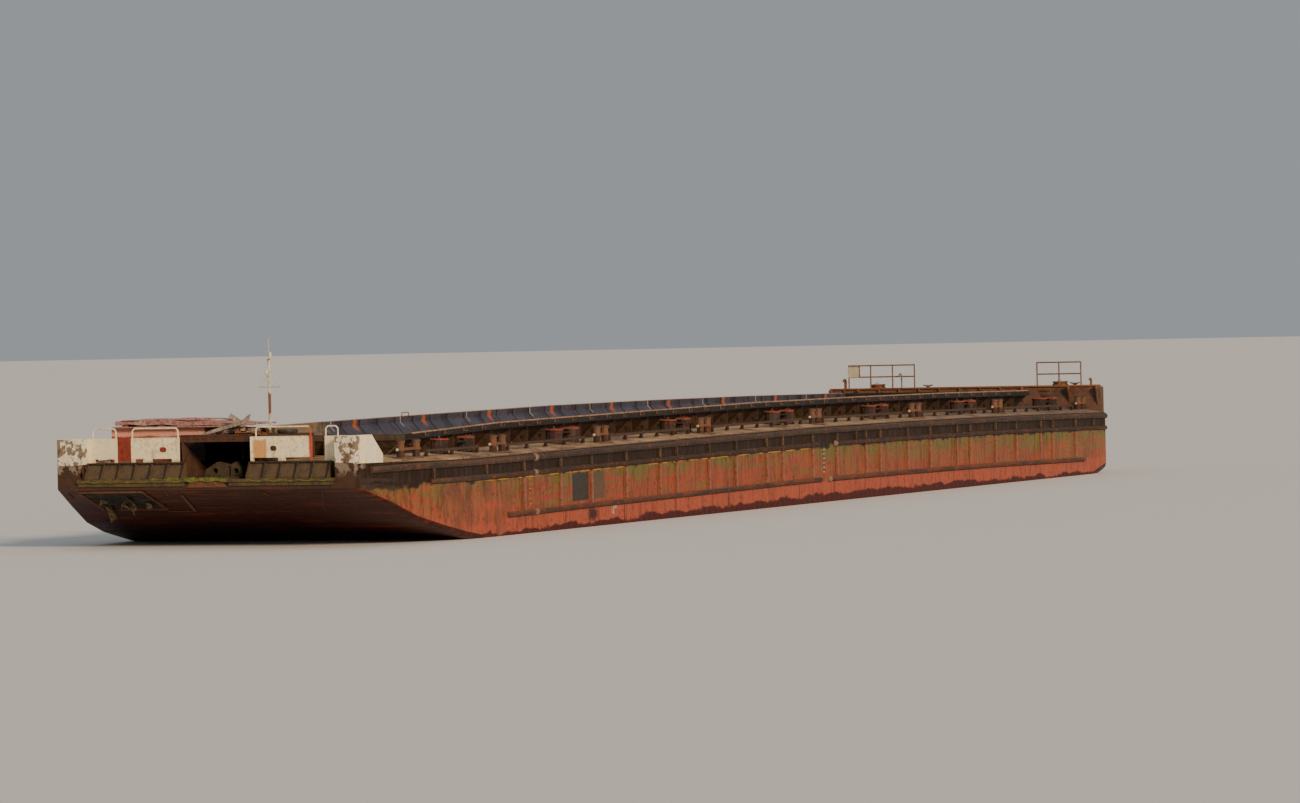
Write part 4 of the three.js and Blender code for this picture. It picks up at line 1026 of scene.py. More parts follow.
def addDeckEyes(side, name):
    d = deckEye
    eye = startRing((0, 0, stripTop + 0.05), d["radius"], d["wire"], 16, 6, (90, 0, 0))
    pushPoints(eye, lambda p: p.z > stripTop + 0.07, (0, 0, 0.03))
    pad = startBlock((-0.1, -0.06, stripTop - 0.01), (0.1, 0.06, stripTop + 0.02))
    roundEdges(pad, 0.01)
    places = [(onDeck(d["from"] + n * d["pitch"], side * d["across"]), 0) for n in range(d["count"])]
    settle(setOut(weldUp([eye, pad]), places), f"deckEyes_{name}", "wornSteel")


for name, side in sides.items():
    addBollardTrim(side, name)
    addBollardPlates(side, name)
    addBollardKnobs(side, name)
    addGuardFeet(side, name)
    addGuardBars(side, name)
    addDeckEyes(side, name)

print("stage: deck edge and cargo box trim")
boxEnds = (7.3, 80.8)
boxTrim = {"bead": 0.035, "hookPitch": 1.8, "wallHeight": 0.97, "dip": 0.16, "dipRun": 8}


def wallDip(aft):  # the walls are lower over their first few metres
    return boxTrim["dip"] * max(0, 1 - (aft - boxEnds[0]) / boxTrim["dipRun"])


def wallTop(aft):
    return deckHeight(aft) + boxTrim["wallHeight"] - wallDip(aft)


def addDeckEdge(side, name):  # gunwale bar on the deck edge, above the upper fender
    fore, aft = (halfLength - end for end in (8.0, 84.5))
    bar = startBlock((aft, side * (halfBeam - 0.07), 0.0), (fore, side * halfBeam, 0.035))
    insetFaces(bar, facesUp, (0.012, 0.01))
    bendToDeck(bar)
    settle(bar, f"deckEdge_{name}", "wornSteel")


def addRailBead(side, name):  # chafing bead along the top outer edge of the box rail
    fore, aft = (halfLength - end for end in (8.0, 80.7))
    middle = ((fore + aft) / 2, side * 4.985, 0.2 + boxTrim["wallHeight"] - 0.01)
    bead = startRound(middle, boxTrim["bead"], fore - aft, 10, (0, 90, 0))
    insetFaces(bead, endFaces, (0.01, 0.01))
    bendToDeck(bead)
    for point in bead.data.vertices:
        point.co.z -= wallDip(halfLength - point.co.x / realMetre) * realMetre
    # The bead's light finish is a painted highlight along the rail
    settle(bead, f"railBead_{name}", "highlightEdge", angle=60)


def addRailHooks(side, name):  # lashing hooks that hang on the outer face of the rail, one by each knee
    plate = startBlock((-0.05, 0, -0.1), (0.05, 0.012, 0.06))
    roundEdges(plate, 0.004)
    horn = startRound((0, 0.05, -0.06), 0.018, 0.1, 10, (90, 0, 0))
    openFaces(horn, lambda face: face.normal.y > 0.9)
    centre = (0, 0.1 * realMetre, -0.01 * realMetre)
    bpy.ops.mesh.spin(steps=6, angle=-radians(110), center=centre, axis=(1, 0, 0))
    turnOutwards()
    closeFaces()
    hook = weldUp([plate, horn])
    places = []
    count = int((boxEnds[1] - boxEnds[0] - 1.8) / boxTrim["hookPitch"])
    for n in range(count):
        aft = boxEnds[0] + 1 + (n + 0.5) * boxTrim["hookPitch"]
        places.append((spot(aft, side * 5.0, wallTop(aft) - 0.1), 0 if side > 0 else pi))
    settle(setOut(hook, places), f"railHooks_{name}", "wornSteel")


floorStrap = {"from": 10.4, "pitch": 3.6, "count": 19, "wide": 0.14, "thick": 0.02, "half": 3.95}


def addFloorStraps():  # flat bars welded across the cargo deck over its plate seams
    f = floorStrap
    strap = startBlock((-f["wide"] / 2, -f["half"], -0.005), (f["wide"] / 2, f["half"], f["thick"]))
    insetFaces(strap, facesUp, (0.015, 0.008))
    places = [(onDeck(f["from"] + n * f["pitch"], 0), 0) for n in range(f["count"])]
    settle(setOut(strap, places), "floorStraps", "wornSteel")


sandDrift = {"aft": (8.2, 16.5), "half": 3.6, "high": 0.16, "lumps": 14, "seed": 4}


def addSandDrift():  # sand left over at the fore end of the box, thin at its edge
    (fore, aft), half = sandDrift["aft"], sandDrift["half"]
    drift = startSheet(46, 40, (halfLength - aft, halfLength - fore), (-half, half))
    chance = Random(sandDrift["seed"])
    lumps = [(chance.uniform(fore + 0.5, aft - 2), chance.uniform(-2.6, 2.6), chance.uniform(0.5, 1.4))
             for _ in range(sandDrift["lumps"])]
    for point in drift.data.vertices:
        place = halfLength - point.co.x / realMetre
        across = point.co.y / realMetre
        edge = max(0, min(1, (aft - place) / 4, (place - fore) / 0.5, (half - abs(across)) / 0.8))
        heap = sum(max(0, 1 - ((place - a) ** 2 + (across - y) ** 2) / r ** 2) for a, y, r in lumps)
        cover = edge * sandDrift["high"] * (0.35 + 0.4 * min(heap, 1.6))
        point.co.z = (deckHeight(place, across) - 0.02 + cover) * realMetre
    closeSheet(drift, 0.02)
    settle(drift, "sandDrift", "driftedSand", angle=80)


dunnage = {"planks": 11, "long": (1.6, 3.2), "wide": 0.2, "thick": 0.05, "seed": 9}


def addDunnage():  # loose boards on the cargo deck
    chance = Random(dunnage["seed"])
    parts = []
    for _ in range(dunnage["planks"]):
        half = chance.uniform(*dunnage["long"]) / 2
        plank = startBlock((-half, -dunnage["wide"] / 2, 0), (half, dunnage["wide"] / 2, dunnage["thick"]))
        insetFaces(plank, facesUp, (0.01, 0.004))
        pushPoints(plank, lambda p: p.x > 0, (0, chance.uniform(-0.02, 0.02), chance.uniform(0, 0.02)))
        roundEdges(plank, 0.006, 1)
        aft, across = chance.uniform(20, 76), chance.uniform(-2.8, 2.8)
        parts.append(setOut(plank, [(onDeck(aft, across, 0.03), chance.uniform(0, pi))]))
    settle(weldUp(parts), "dunnage", "greyPine")


for name, side in sides.items():
    addDeckEdge(side, name)
    addRailBead(side, name)
    addRailHooks(side, name)
addFloorStraps()
addSandDrift()
addDunnage()

print("stage: bow plating trim")
bowX = halfLength
ledge, sill, bulwarkTop = 3.12, 3.75, 4.7
rampRibs = {"starboard": (-5.197, -1.0, 7), "port": (1.723, 5.2, 6)}  # from, to, count
ribFlange = {"wide": 0.085, "thick": 0.022}


def layBar(start, end, wide, thick):  # a flat bar from one place to another, in real metres
    run = Vector(end) - Vector(start)
    bar = startBlock((-wide / 2, -thick / 2, 0), (wide / 2, thick / 2, run.length))
    bar.rotation_euler = run.to_track_quat("Z", "Y").to_euler()
    bar.location = Vector(start) * realMetre
    bpy.ops.object.transform_apply(location=True, rotation=True, scale=True)
    return bar


def addRampFlanges(name):
    first, last, count = rampRibs[name]
    parts = []
    for n in range(count):
        y = first + 0.03 + (last - first - 0.06) * n / (count - 1)
        foot, head = (bowX + 0.065, y, ledge + 0.02), (bowX - 0.3, y, sill + 0.01)
        bar = layBar(foot, head, ribFlange["thick"], ribFlange["wide"])
        roundEdges(bar, 0.006, 1)
        parts.append(bar)
    cap = startBlock((bowX - 0.36, first, sill - 0.005), (bowX - 0.3, last, sill + 0.02))
    openFaces(cap, facesAhead)
    drawOut(0.02, 0, -0.03)
    closeFaces()
    # Their near-black finish is painted shadow of the ribs
    settle(weldUp(parts + [cap]), f"rampFlanges_{name}", "ribShadowFlange")


centrePlate = {"top": (-0.55, 0.7), "foot": (-0.8, 0.94), "low": 2.8, "proud": 0.05}


def addCentrePlate():  # headlog plate between the two lengths of beam, its ends cut on the slant
    c = centrePlate
    (star, port), (topStar, topPort) = c["foot"], c["top"]
    plate = startBlock((bowX + 0.004, star, c["low"]), (bowX + c["proud"], port, ledge - 0.01))
    pushPoints(plate, lambda p: p.z > 3 and p.y < 0, (0, topStar - star, 0))
    pushPoints(plate, lambda p: p.z > 3 and p.y > 0, (0, topPort - port, 0))
    insetFaces(plate, facesAhead, (0.03, 0.008))
    roundEdges(plate, 0.008, 1)
    settle(plate, "headlogCentrePlate", "headlogRust")


# Side, first and last place across, height, and where it is thickest
mossRuns = [("starboard", -5.45, 1.0, 0.07, -0.6), ("port", 1.75, 5.35, 0.03, 2.2)]


def addMoss(name, first, last, high, thickest):  # cushions of moss along the lip of the ledge
    moss = startSheet(10, int((last - first) * 26), (bowX - 0.13, bowX + 0.1), (first, last))
    for point in moss.data.vertices:
        run = point.co.y / realMetre
        patchy = 0.5 + 0.5 * sin(run * 5.1) * sin(run * 2.3 + 1)
        thick = max(0.1, 1 - abs(run - thickest) / 2.4)
        point.co.z = (ledge - 0.02 + high * (0.35 * patchy + thick)) * realMetre
    tufts = bpy.data.textures.new(f"tufts_{name}", "CLOUDS")
    tufts.noise_scale = 0.016
    tufts.noise_depth = 3
    lumps = moss.modifiers.new("tufts", "DISPLACE")
    lumps.texture, lumps.strength, lumps.mid_level = tufts, 2.2 * high * realMetre, 0.5
    lumps.direction, lumps.texture_coords = "Z", "GLOBAL"
    pick(moss)
    bpy.ops.object.modifier_apply(modifier=lumps.name)
    for point in moss.data.vertices:  # it hangs a little over the lip of the beam
        if point.co.x > (bowX + 0.08) * realMetre:
            point.co.z = (ledge - 0.07 - 0.03 * sin(point.co.y * 90)) * realMetre
            point.co.x = (bowX + 0.108) * realMetre
    closeSheet(moss, 0.02)
    settle(moss, f"ledgeMoss_{name}", "wetMoss", angle=60)


underside = {
    "bottom": [(0, 2.72), (2, 2.02), (3.7, 1.35), (5.5, 0.9), (7.6, 0.5)],
    "pocket": {"aft": (0.12, 2.2), "across": (-5.5, -2.75), "wide": 0.09},
    "out": (0.33, -0.944),  # ahead and up, square to the raked plating
    # flanges from one place aft and across to another, then the width
    "flanges": [((0.56, -1.3), (2.48, -1.7), 0.12), ((2.48, -2.85), (2.48, -1.85), 0.07),
                ((0.1, 4.9), (2.4, 3.85), 0.035), ((0.3, 2.3), (0.75, 2.35), 0.06),
                ((0.1, -1.75), (0.6, -1.9), 0.06), ((0.4, -6.1), (0.9, -6.15), 0.05)],
    # torn plates in the same way, then the curl
    "scrap": [((1.7, -5.05), (2.8, -5.4), 0.26, 0.12), ((1.4, -4.3), (1.9, -4.15), 0.2, 0.1),
              ((1.3, -3.1), (1.8, -3.3), 0.22, 0.08), ((0.7, -4.9), (1.5, -4.7), 0.08, 0.1),
              ((0.5, -3.6), (1.7, -3.85), 0.1, 0.06), ((0.9, -4.1), (1.3, -3.7), 0.12, 0.1)],
}


def onRake(aft, across, proud):  # a place on the raked bottom at the bow, proud of its plating
    ahead, up = underside["out"]
    height = along(underside["bottom"], aft) + up * proud
    return Vector((halfLength - aft + ahead * proud, across, height))


def addUnderside():
    p = underside["pocket"]
    (fore, aft), (star, port) = p["aft"], p["across"]
    corners = [onRake(a, y, 0.02) for a, y in ((fore, star), (fore, port), (aft, port), (aft, star))]
    frames = [layBar(a, b, p["wide"], p["wide"]) for a, b in zip(corners, corners[1:] + corners[:1])]
    for frame in frames:
        roundEdges(frame, 0.012)
    flanges = []
    for (a, y), (b, z), wide in underside["flanges"]:
        bar = layBar(onRake(a, y, 0.015), onRake(b, z, 0.015), wide, 0.05)
        roundEdges(bar, 0.01, 1)
        flanges.append(bar)
    settle(weldUp(frames + flanges), "undersideFlanges", "headlogRust")
    across = (star + port) / 2
    bottom = layBar(onRake(fore, across, 0.012), onRake(aft, across, 0.012), port - star, 0.02)
    insetFaces(bottom, lambda face: face.normal.z < -0.5, (0.12, 0.004), (0.25, 0.006))
    # The near-black plate is painted shade inside the pocket
    settle(bottom, "pocketPlate", "pocketShade")
    parts = []
    for (a, y), (b, z), wide, curl in underside["scrap"]:
        plate = layBar(onRake(a, y, 0.06), onRake(b, z, 0.06 + curl), wide, 0.025)
        middle = sum((v.co for v in plate.data.vertices), Vector()) / len(plate.data.vertices)
        cutFaces(plate, anyFace, 4)
        for point in plate.data.vertices:
            away = (point.co.y - middle.y) / (wide * realMetre)
            point.co.z -= curl * realMetre * away * away
            point.co.x += 0.3 * curl * realMetre * away
        parts.append(plate)
    settle(weldUp(parts), "tornPlates", "mossySteel")


bulwarkTrim = {"starboard": {"from": -3.37, "to": -1.32, "oval": -2.0},
               "port": {"from": 1.73, "to": 4.32, "oval": 2.7},
               "front": bowX - 0.45, "thick": 0.06, "ovalHeight": 4.25, "ovalRadius": 0.115, "rim": 0.018}


def addBulwarkTrim(name):
    b, p = bulwarkTrim, bulwarkTrim[name]
    front, back = b["front"], b["front"] - b["thick"]
    rim = startRing((front, p["oval"], b["ovalHeight"]), b["ovalRadius"], b["rim"], 28, 8, (0, 90, 0))
    pushPoints(rim, lambda q: q.y > p["oval"] + 0.005, (0, 0.05, 0))
    pushPoints(rim, lambda q: q.y < p["oval"] - 0.005, (0, -0.05, 0))
    top = startBlock((back - 0.02, p["from"], bulwarkTop - 0.012),
                     (front + 0.02, p["to"], bulwarkTop + 0.014))
    roundEdges(top, 0.012)
    edges = []
    for y in (p["from"] + 0.012, p["to"] - 0.012):
        edge = startBlock((front - 0.09, y - 0.016, sill + 0.02), (front + 0.012, y + 0.016, bulwarkTop))
        roundEdges(edge, 0.01)
        edges.append(edge)
    stays = []
    for n in range(4):
        y = p["from"] + 0.25 + (p["to"] - p["from"] - 0.5) * n / 3
        if abs(y - p["oval"]) < 0.2:
            continue
        stay = startBlock((back - 0.2, y - 0.014, sill + 0.16), (back, y + 0.014, bulwarkTop - 0.05))
        pushPoints(stay, lambda q: q.z > 4.2 and q.x < front - 0.2, (0.14, 0, 0))
        stays.append(stay)
    settle(weldUp([rim, top] + edges + stays), f"bulwarkTrim_{name}", "bulwarkCream")


def addCornerTrim(side, name):  # rolled edge on top of the corner plates and wings
    parts = []
    inner = 5.2 if side < 0 else 5.5
    path = [Vector((bowX - aft, side * across, bulwarkTop))
            for aft, across in ((0.06, inner), (0.06, 6.3), (1.0, 6.58))]
    for a, b in zip(path, path[1:]):
        bar = layBar(a, b, 0.13 if a is path[0] else 0.08, 0.03)
        roundEdges(bar, 0.012)
        parts.append(bar)
    y = side * (inner + 0.45)
    knee = startBlock((bowX - 0.5, y - 0.015, 3.82), (bowX - 0.13, y + 0.015, 4.55))
    pushPoints(knee, lambda q: q.z > 4.2 and q.x < bowX - 0.4, (0.26, 0, 0))
    settle(weldUp(parts + [knee]), f"cornerTrim_{name}", "bulwarkCream")


bowFinishes = {
    # flat bars on the bow plating, nearly black as painted shadow of the ribs, their edges rubbed clean
    "ribShadowFlange": {"coats": "2a2016 1e1610 3c301e 6f4a2c", "top": "5b5528", "size": 0.3},
    "headlogRust": {"coats": "6a3f28 4a2c1c 7c4a2c 8c5634", "size": 0.3},
    # near-black, painted shade inside the pocket under the bow
    "pocketShade": {"coats": "120d0a 1f1712 2c1c14 382218", "size": 0.5, "dry": 0.95},
    # torn plates that never dry: rust under algae
    "mossySteel": {"coats": "57492e 867a58 44442a 74482a", "size": 0.2},
}
made.update({name: weatheredSteel(name, look) for name, look in bowFinishes.items()})
for name, side in sides.items():
    addRampFlanges(name)
    addBulwarkTrim(name)
    addCornerTrim(side, name)
for run in mossRuns:
    addMoss(*run)
addCentrePlate()
addUnderside()

print("stage: loads on the winch house and the recess roof")
roofTop, houseTop = 4.72, 5.05
lumber = [  # start and end of each board, each as aft, across and height, then its width
    ((1.8, -0.98, 4.77), (1.9, 0.76, 5.25), 0.13), ((2.05, -0.8, 4.78), (2.1, 0.9, 5.36), 0.11),
    ((2.2, 0.0, 5.52), (2.25, 0.62, 5.1), 0.17), ((2.25, 0.86, 5.5), (2.2, 0.2, 5.02), 0.08),
    ((2.5, -1.1, 4.8), (2.9, 0.3, 4.95), 0.15), ((3.1, -1.1, 4.8), (2.9, 0.9, 4.95), 0.14),
]


def addLumber():
    parts = []
    for (a, y, z), (b, v, w), wide in lumber:
        board = layBar((halfLength - a, y, z), (halfLength - b, v, w), 0.045, wide)
        cutFaces(board, anyFace, 3)
        for n, point in enumerate(board.data.vertices):  # warped by the weather
            point.co.z += 0.012 * realMetre * sin(point.co.y * 37 + a * 5)
            point.co.x += 0.01 * realMetre * cos(point.co.y * 29 + n)
        roundEdges(board, 0.006, 1, 50)
        parts.append(board)
    settle(weldUp(parts), "crossedBoards", "greyPine")


# Rows give the first and last place across, the place aft and the width of each board
coverBoards = {"rows": [(-4.9, -3.2, 2.75, 0.4), (-4.1, -1.3, 3.35, 0.5), (-4.7, -2.2, 3.95, 0.45),
                        (-3.6, -0.9, 4.5, 0.5), (-4.5, -2.9, 4.95, 0.35)],
               "thick": 0.045, "over": 0.31, "seed": 3}


def addCoverBoards():  # boards and sheets thrown on top of the loose cover plates
    parts = []
    chance = Random(coverBoards["seed"])
    for first, last, aft, wide in coverBoards["rows"]:
        x, z = halfLength - aft, houseTop + 0.003 + coverBoards["over"]
        board = startBlock((x - wide / 2, first, z - coverBoards["thick"]), (x + wide / 2, last, z))
        cutFaces(board, levelFaces, 7)
        sway, lean = chance.uniform(0, 6), chance.uniform(-0.03, 0.03)
        for point in board.data.vertices:
            run = point.co.y / realMetre
            tilt = lean * (point.co.x / realMetre - halfLength + aft)
            point.co.z += (0.02 * sin(run * 2.1 + sway) + tilt) * realMetre
        roundEdges(board, 0.008, 1, 50)
        parts.append(board)
    settle(weldUp(parts), "coverBoards", "chalkedPlate")


roofScrap = {"seed": 12, "pieces": 24, "aft": (2.3, 3.7), "across": (-1.1, 0.9), "size": (0.1, 0.28),
             "standing": [(3.9, -1.25, 0.1, 0.36), (3.5, -0.5, 0.65, 0.3)]}


def addRoofScrap():  # a heap of bent sheet and offcuts beside the house
    chance = Random(roofScrap["seed"])
    heaps = {"scrapIron": [], "wornSteel": []}
    for n in range(roofScrap["pieces"]):
        aft, across = chance.uniform(*roofScrap["aft"]), chance.uniform(*roofScrap["across"])
        a, b, c = (chance.uniform(*roofScrap["size"]) for _ in range(3))
        z = roofTop + 0.02 + chance.uniform(0, 0.16)
        place = Vector((halfLength - aft, across, z))
        sheet = startBlock((-a / 2, -b / 2, 0), (a / 2, b / 2, 0.03))
        openFaces(sheet, facesAhead)
        drawOut(0.02, 0, c * 0.5)
        closeFaces()
        roundEdges(sheet, 0.006, 1)
        turns = [chance.uniform(*limits) for limits in ((-0.5, 0.5), (-0.7, 0.3), (0, tau))]
        sheet.rotation_euler = turns
        sheet.location = place * realMetre
        heaps["scrapIron" if n % 3 else "wornSteel"].append(sheet)
    for aft, first, last, high in roofScrap["standing"]:  # plates stood on edge
        x = halfLength - aft
        plate = startBlock((x, first, roofTop + 0.01), (x + 0.03, last, roofTop + high))
        pushPoints(plate, lambda p: p.z > roofTop + 0.1 and p.y > first + 0.2, (-0.12, 0, -0.08))
        roundEdges(plate, 0.006, 1)
        heaps["wornSteel"].append(plate)
    for finish, parts in heaps.items():
        piece = weldUp(parts)
        settle(piece, f"roofScrap_{finish}", finish)


oldTyre = {"aft": 4.3, "across": 1.42, "radius": 0.3, "tube": 0.1, "half": 0.078}


def addTyre():  # worn tyre used as a fender, lying on the roof
    t = oldTyre
    x, y, z = halfLength - t["aft"], t["across"], roofTop + 0.1
    tyre = startRing((x, y, z), t["radius"], t["tube"], 36, 14)
    middle = Vector((x, y, 0)) * realMetre
    tread = t["radius"] + t["tube"] * 0.8
    openFaces(tyre, lambda face: (face.center - middle).xy.length > tread * realMetre)
    bpy.ops.mesh.inset(thickness=0.006 * realMetre, depth=0.012 * realMetre, use_individual=True)
    closeFaces()
    level, half = z * realMetre, t["half"] * realMetre
    for point in tyre.data.vertices:  # its side walls are flat
        point.co.z = level + max(-half, min(half, point.co.z - level))
    settle(tyre, "roofTyre", "dustyRubber")


# The fore corner to starboard, the aft corner to port, the height and the curl of each sheet
roofSheets = [((3.75, -0.4), (4.9, 0.4), 0.05, 0.14), ((1.0, 0.9), (2.3, 1.55), 0.06, 0.1),
              ((4.95, -1.1), (5.7, 0.1), 0.05, 0.22)]


def addRoofSheets():  # sheets of plate lying about on the roof, one end curled up
    parts = []
    for (fore, star), (aft, port), high, curl in roofSheets:
        x0, x1 = halfLength - aft, halfLength - fore
        sheet = startBlock((x0, star, roofTop + 0.01), (x1, port, roofTop + high))
        cutFaces(sheet, levelFaces, 6)
        for point in sheet.data.vertices:
            share = (point.co.x / realMetre - x0) / (x1 - x0)
            point.co.z += curl * realMetre * share ** 3
        roundEdges(sheet, 0.006, 1, 50)
        parts.append(sheet)
    settle(weldUp(parts), "roofSheets", "scrapIron")


roofAngle = {"ends": (-1.28, 1.78), "bolts": 14, "firstBolt": -1.18, "boltRun": 2.86}


def addRoofAngle():  # angle bar and bolts along the front lip of the recess roof
    front, (star, port), count = bowX - 0.55, roofAngle["ends"], roofAngle["bolts"]
    angle = startBlock((front - 0.02, star, 4.74), (front + 0.02, port, 4.79))
    openFaces(angle, facesUp)
    drawOut(-0.01, 0, 0.015)
    closeFaces()
    roundEdges(angle, 0.008, 1)
    bolts = []
    for n in range(count):
        y = roofAngle["firstBolt"] + roofAngle["boltRun"] * n / (count - 1)
        bolt = startRound((front + 0.008, y, 4.64), 0.028, 0.03, 6, (0, 90, 0))
        insetFaces(bolt, facesAhead, (0.008, 0.006))
        bolts.append(bolt)
    settle(weldUp([angle] + bolts), "roofAngle", "scaleRust")


addLumber()
addCoverBoards()
addRoofScrap()
addTyre()
addRoofSheets()
addRoofAngle()

print("stage: mast fittings")
mastPlace = {"x": halfLength - 3.4, "y": 1.13, "arm": 6.56, "head": 7.68}
lamps = [(0.1, 0.1, 7.7, 7.84), (0.12, -0.06, 7.06, 7.18)]  # ahead, across, foot and top of each lens


def addMastFittings():
    m = mastPlace
    braces = []
    for end in (-1, 1):
        tip, root = (m["y"] + end * off for off in (0.4, 0.05))
        braces.append(layBar((m["x"], tip, m["arm"] + 0.01), (m["x"], root, m["arm"] + 0.42), 0.018, 0.018))
    clamps = []
    for z in (m["arm"], m["head"] - 0.1, 7.0, 5.2):
        clamp = startRound((m["x"], m["y"], z), 0.072, 0.07, 20)
        insetFaces(clamp, uprightFaces, (0.014, 0.008))
        clamps.append(clamp)
    hats = []
    for ahead, across, foot, top in lamps:
        hat = startRound((m["x"] + ahead, m["y"] + across, top + 0.015), 0.062, 0.03, 20)
        insetFaces(hat, facesUp, (0.03, 0.018))
        hats.append(hat)
        for n in range(3):
            turn = tau * n / 3
            x, y = m["x"] + ahead + 0.06 * cos(turn), m["y"] + across + 0.06 * sin(turn)
            hats.append(layBar((x, y, foot - 0.01), (x, y, top + 0.01), 0.01, 0.01))
    settle(weldUp(braces + clamps + hats), "mastFittings", "mastPaint", "signal_mast")
    lenses = []
    for ahead, across, foot, top in lamps:
        lens = startRound((m["x"] + ahead, m["y"] + across, (foot + top) / 2), 0.055, top - foot, 24)
        cutFaces(lens, uprightFaces, 4)
        for point in lens.data.vertices:  # ribbed like a pressed lens
            rib = 1 + 0.06 * sin((point.co.z / realMetre - foot) / (top - foot) * 5 * pi)
            middle = Vector((m["x"] + ahead, m["y"] + across)) * realMetre
            point.co.x = middle.x + (point.co.x - middle.x) * rib
            point.co.y = middle.y + (point.co.y - middle.y) * rib
        lenses.append(lens)
    settle(weldUp(lenses), "lampLenses", "signalGlass", "signal_mast")


def addShoeBolts():  # pin head and foot bolts of the mast shoe
    m = mastPlace
    parts = []
    for dx in (-0.15, 0.15):
        for dy in (-0.16, 0.16):
            bolt = startRound((m["x"] + dx, m["y"] + dy, roofTop + 0.06), 0.024, 0.04, 6)
            roundEdges(bolt, 0.005, 1)
            parts.append(bolt)
    settle(weldUp(parts), "mastShoeBolts", "wornSteel")


addMastFittings()
addShoeBolts()

print("stage: stern fittings")
platform = {"top": 4.8, "fore": 85.08, "aft": 87.0}
hatch = {"aft": 86.1, "starboard": -5.1, "port": 4.83, "radius": 0.39, "foot": 0.46, "high": 0.22,
         "lid": 0.053, "dogs": 6, "grip": 0.09, "gripWire": 0.014}


def addHatchDogs(name):  # swing bolts round the coaming of a stern hatch
    h, top = hatch, platform["top"]
    middle, across = halfLength - h["aft"], h[name]
    parts = []
    for n in range(h["dogs"]):
        turn = tau * (n + 0.5) / h["dogs"]
        x, y = middle + h["radius"] * cos(turn), across + h["radius"] * sin(turn)
        lug = layBar((x, y, top + 0.02), (x, y, top + 0.17), 0.05, 0.05)
        roundEdges(lug, 0.012)
        parts.append(lug)
    ring = startRound((middle, across, top + 0.02), h["foot"], 0.03, 32)
    insetFaces(ring, facesUp, (0.07, 0.012))
    roundEdges(ring, 0.008, 1)
    settle(weldUp(parts + [ring]), f"hatchDogs_{name}", "wornSteel")


def addHatchHandles(name):  # rim and handle on the loose lid of a stern hatch
    h = hatch
    x, y, z = halfLength - h["aft"], h[name], platform["top"] + h["high"] + h["lid"]
    rim = startRound((x, y, z + 0.01), h["radius"], 0.022, 32)
    openFaces(rim, facesUp)
    bpy.ops.mesh.inset(thickness=0.04 * realMetre)
    drawOut(0, 0, -0.014)
    closeFaces()
    grip = startRing((x + 0.1, y, z + 0.015), h["grip"], h["gripWire"], 20, 8, (0, 90, 0))
    openFaces(grip, anyFace)
    bpy.ops.mesh.bisect(plane_co=(0, 0, z * realMetre), plane_no=(0, 0, 1), clear_inner=True, use_fill=True)
    closeFaces()
    settle(weldUp([rim, grip]), f"hatchHandle_{name}", "lidRedLead", f"stern_lid_{name}")


# Aft, across, radius, height, bend and finish of each vent
vents = [(85.75, -6.75, 0.07, 0.42, 0.12, "lidRedLead"), (85.6, -3.6, 0.035, 0.62, 0.2, "capSteel"),
         (85.9, 6.55, 0.06, 0.3, 0.1, "wornSteel")]


def addVents():  # goosenecks on the stern platform
    for number, (aft, across, radius, high, bend, finish) in enumerate(vents, 1):
        x = halfLength - aft
        pipe = startRound((x, across, platform["top"] + high / 2 + 0.004), radius, high, 16)
        openFaces(pipe, facesUp)
        centre = ((x + bend) * realMetre, across * realMetre, (platform["top"] + high + 0.004) * realMetre)
        bpy.ops.mesh.spin(steps=10, angle=-radians(170), center=centre, axis=(0, 1, 0))
        bpy.ops.mesh.inset(thickness=radius * 0.25 * realMetre, depth=-0.02 * realMetre)
        turnOutwards()
        closeFaces()
        flange = startRound((x, across, platform["top"] + 0.02), radius * 1.9, 0.03, 16)
        roundEdges(flange, 0.008, 1)
        settle(weldUp([pipe, flange]), f"sternVent_{number}", finish)


def addPlatformEdge():  # toe bar round the stern platform
    fore, aft = halfLength - platform["fore"] - 0.02, halfLength - platform["aft"]
    half, foreHalf = 6.24 - 0.06, 7.36
    corners = [(fore - 0.1, foreHalf), (aft + 0.04, half), (aft + 0.04, -half), (fore - 0.1, -foreHalf)]
    path = [Vector((x, y, platform["top"] + 0.03)) for x, y in corners]
    parts = []
    for a, b in zip(path, path[1:]):
        bar = layBar(a, b, 0.06, 0.03)
        roundEdges(bar, 0.008, 1)
        parts.append(bar)
    settle(weldUp(parts), "platformEdge", "wornSteel")


wallTrim = {"x": halfLength - 85.0, "top": 4.89, "half": 7.3, "rungs": 4, "rungFoot": 3.95,
            "rungPitch": 0.24, "ladderY": 4.45, "ladderHalf": 0.2}


def addWallTrim():  # flange on top of the push wall, and the rungs welded up its face
    w = wallTrim
    flange = startBlock((w["x"] - 0.1, -w["half"], w["top"] - 0.01),
                        (w["x"] + 0.07, w["half"], w["top"] + 0.025))
    openFaces(flange, facesAhead)
    drawOut(0.01, 0, -0.05)
    closeFaces()
    roundEdges(flange, 0.01, 1)
    rungs = []
    ends = [w["ladderY"] - w["ladderHalf"], w["ladderY"] + w["ladderHalf"]]
    for n in range(w["rungs"]):
        z = w["rungFoot"] + w["rungPitch"] * n
        rungs.append(layBar(*[(w["x"] + 0.1, y, z) for y in ends], 0.03, 0.03))
        rungs += [layBar((w["x"], y, z), (w["x"] + 0.115, y, z), 0.03, 0.03) for y in ends]
    for rung in rungs:
        roundEdges(rung, 0.01)
    settle(weldUp([flange] + rungs), "pushWallTrim", "sternBrown")


cleat = {"places": [(85.7, 5.75), (85.7, -2.2)], "long": 0.5}


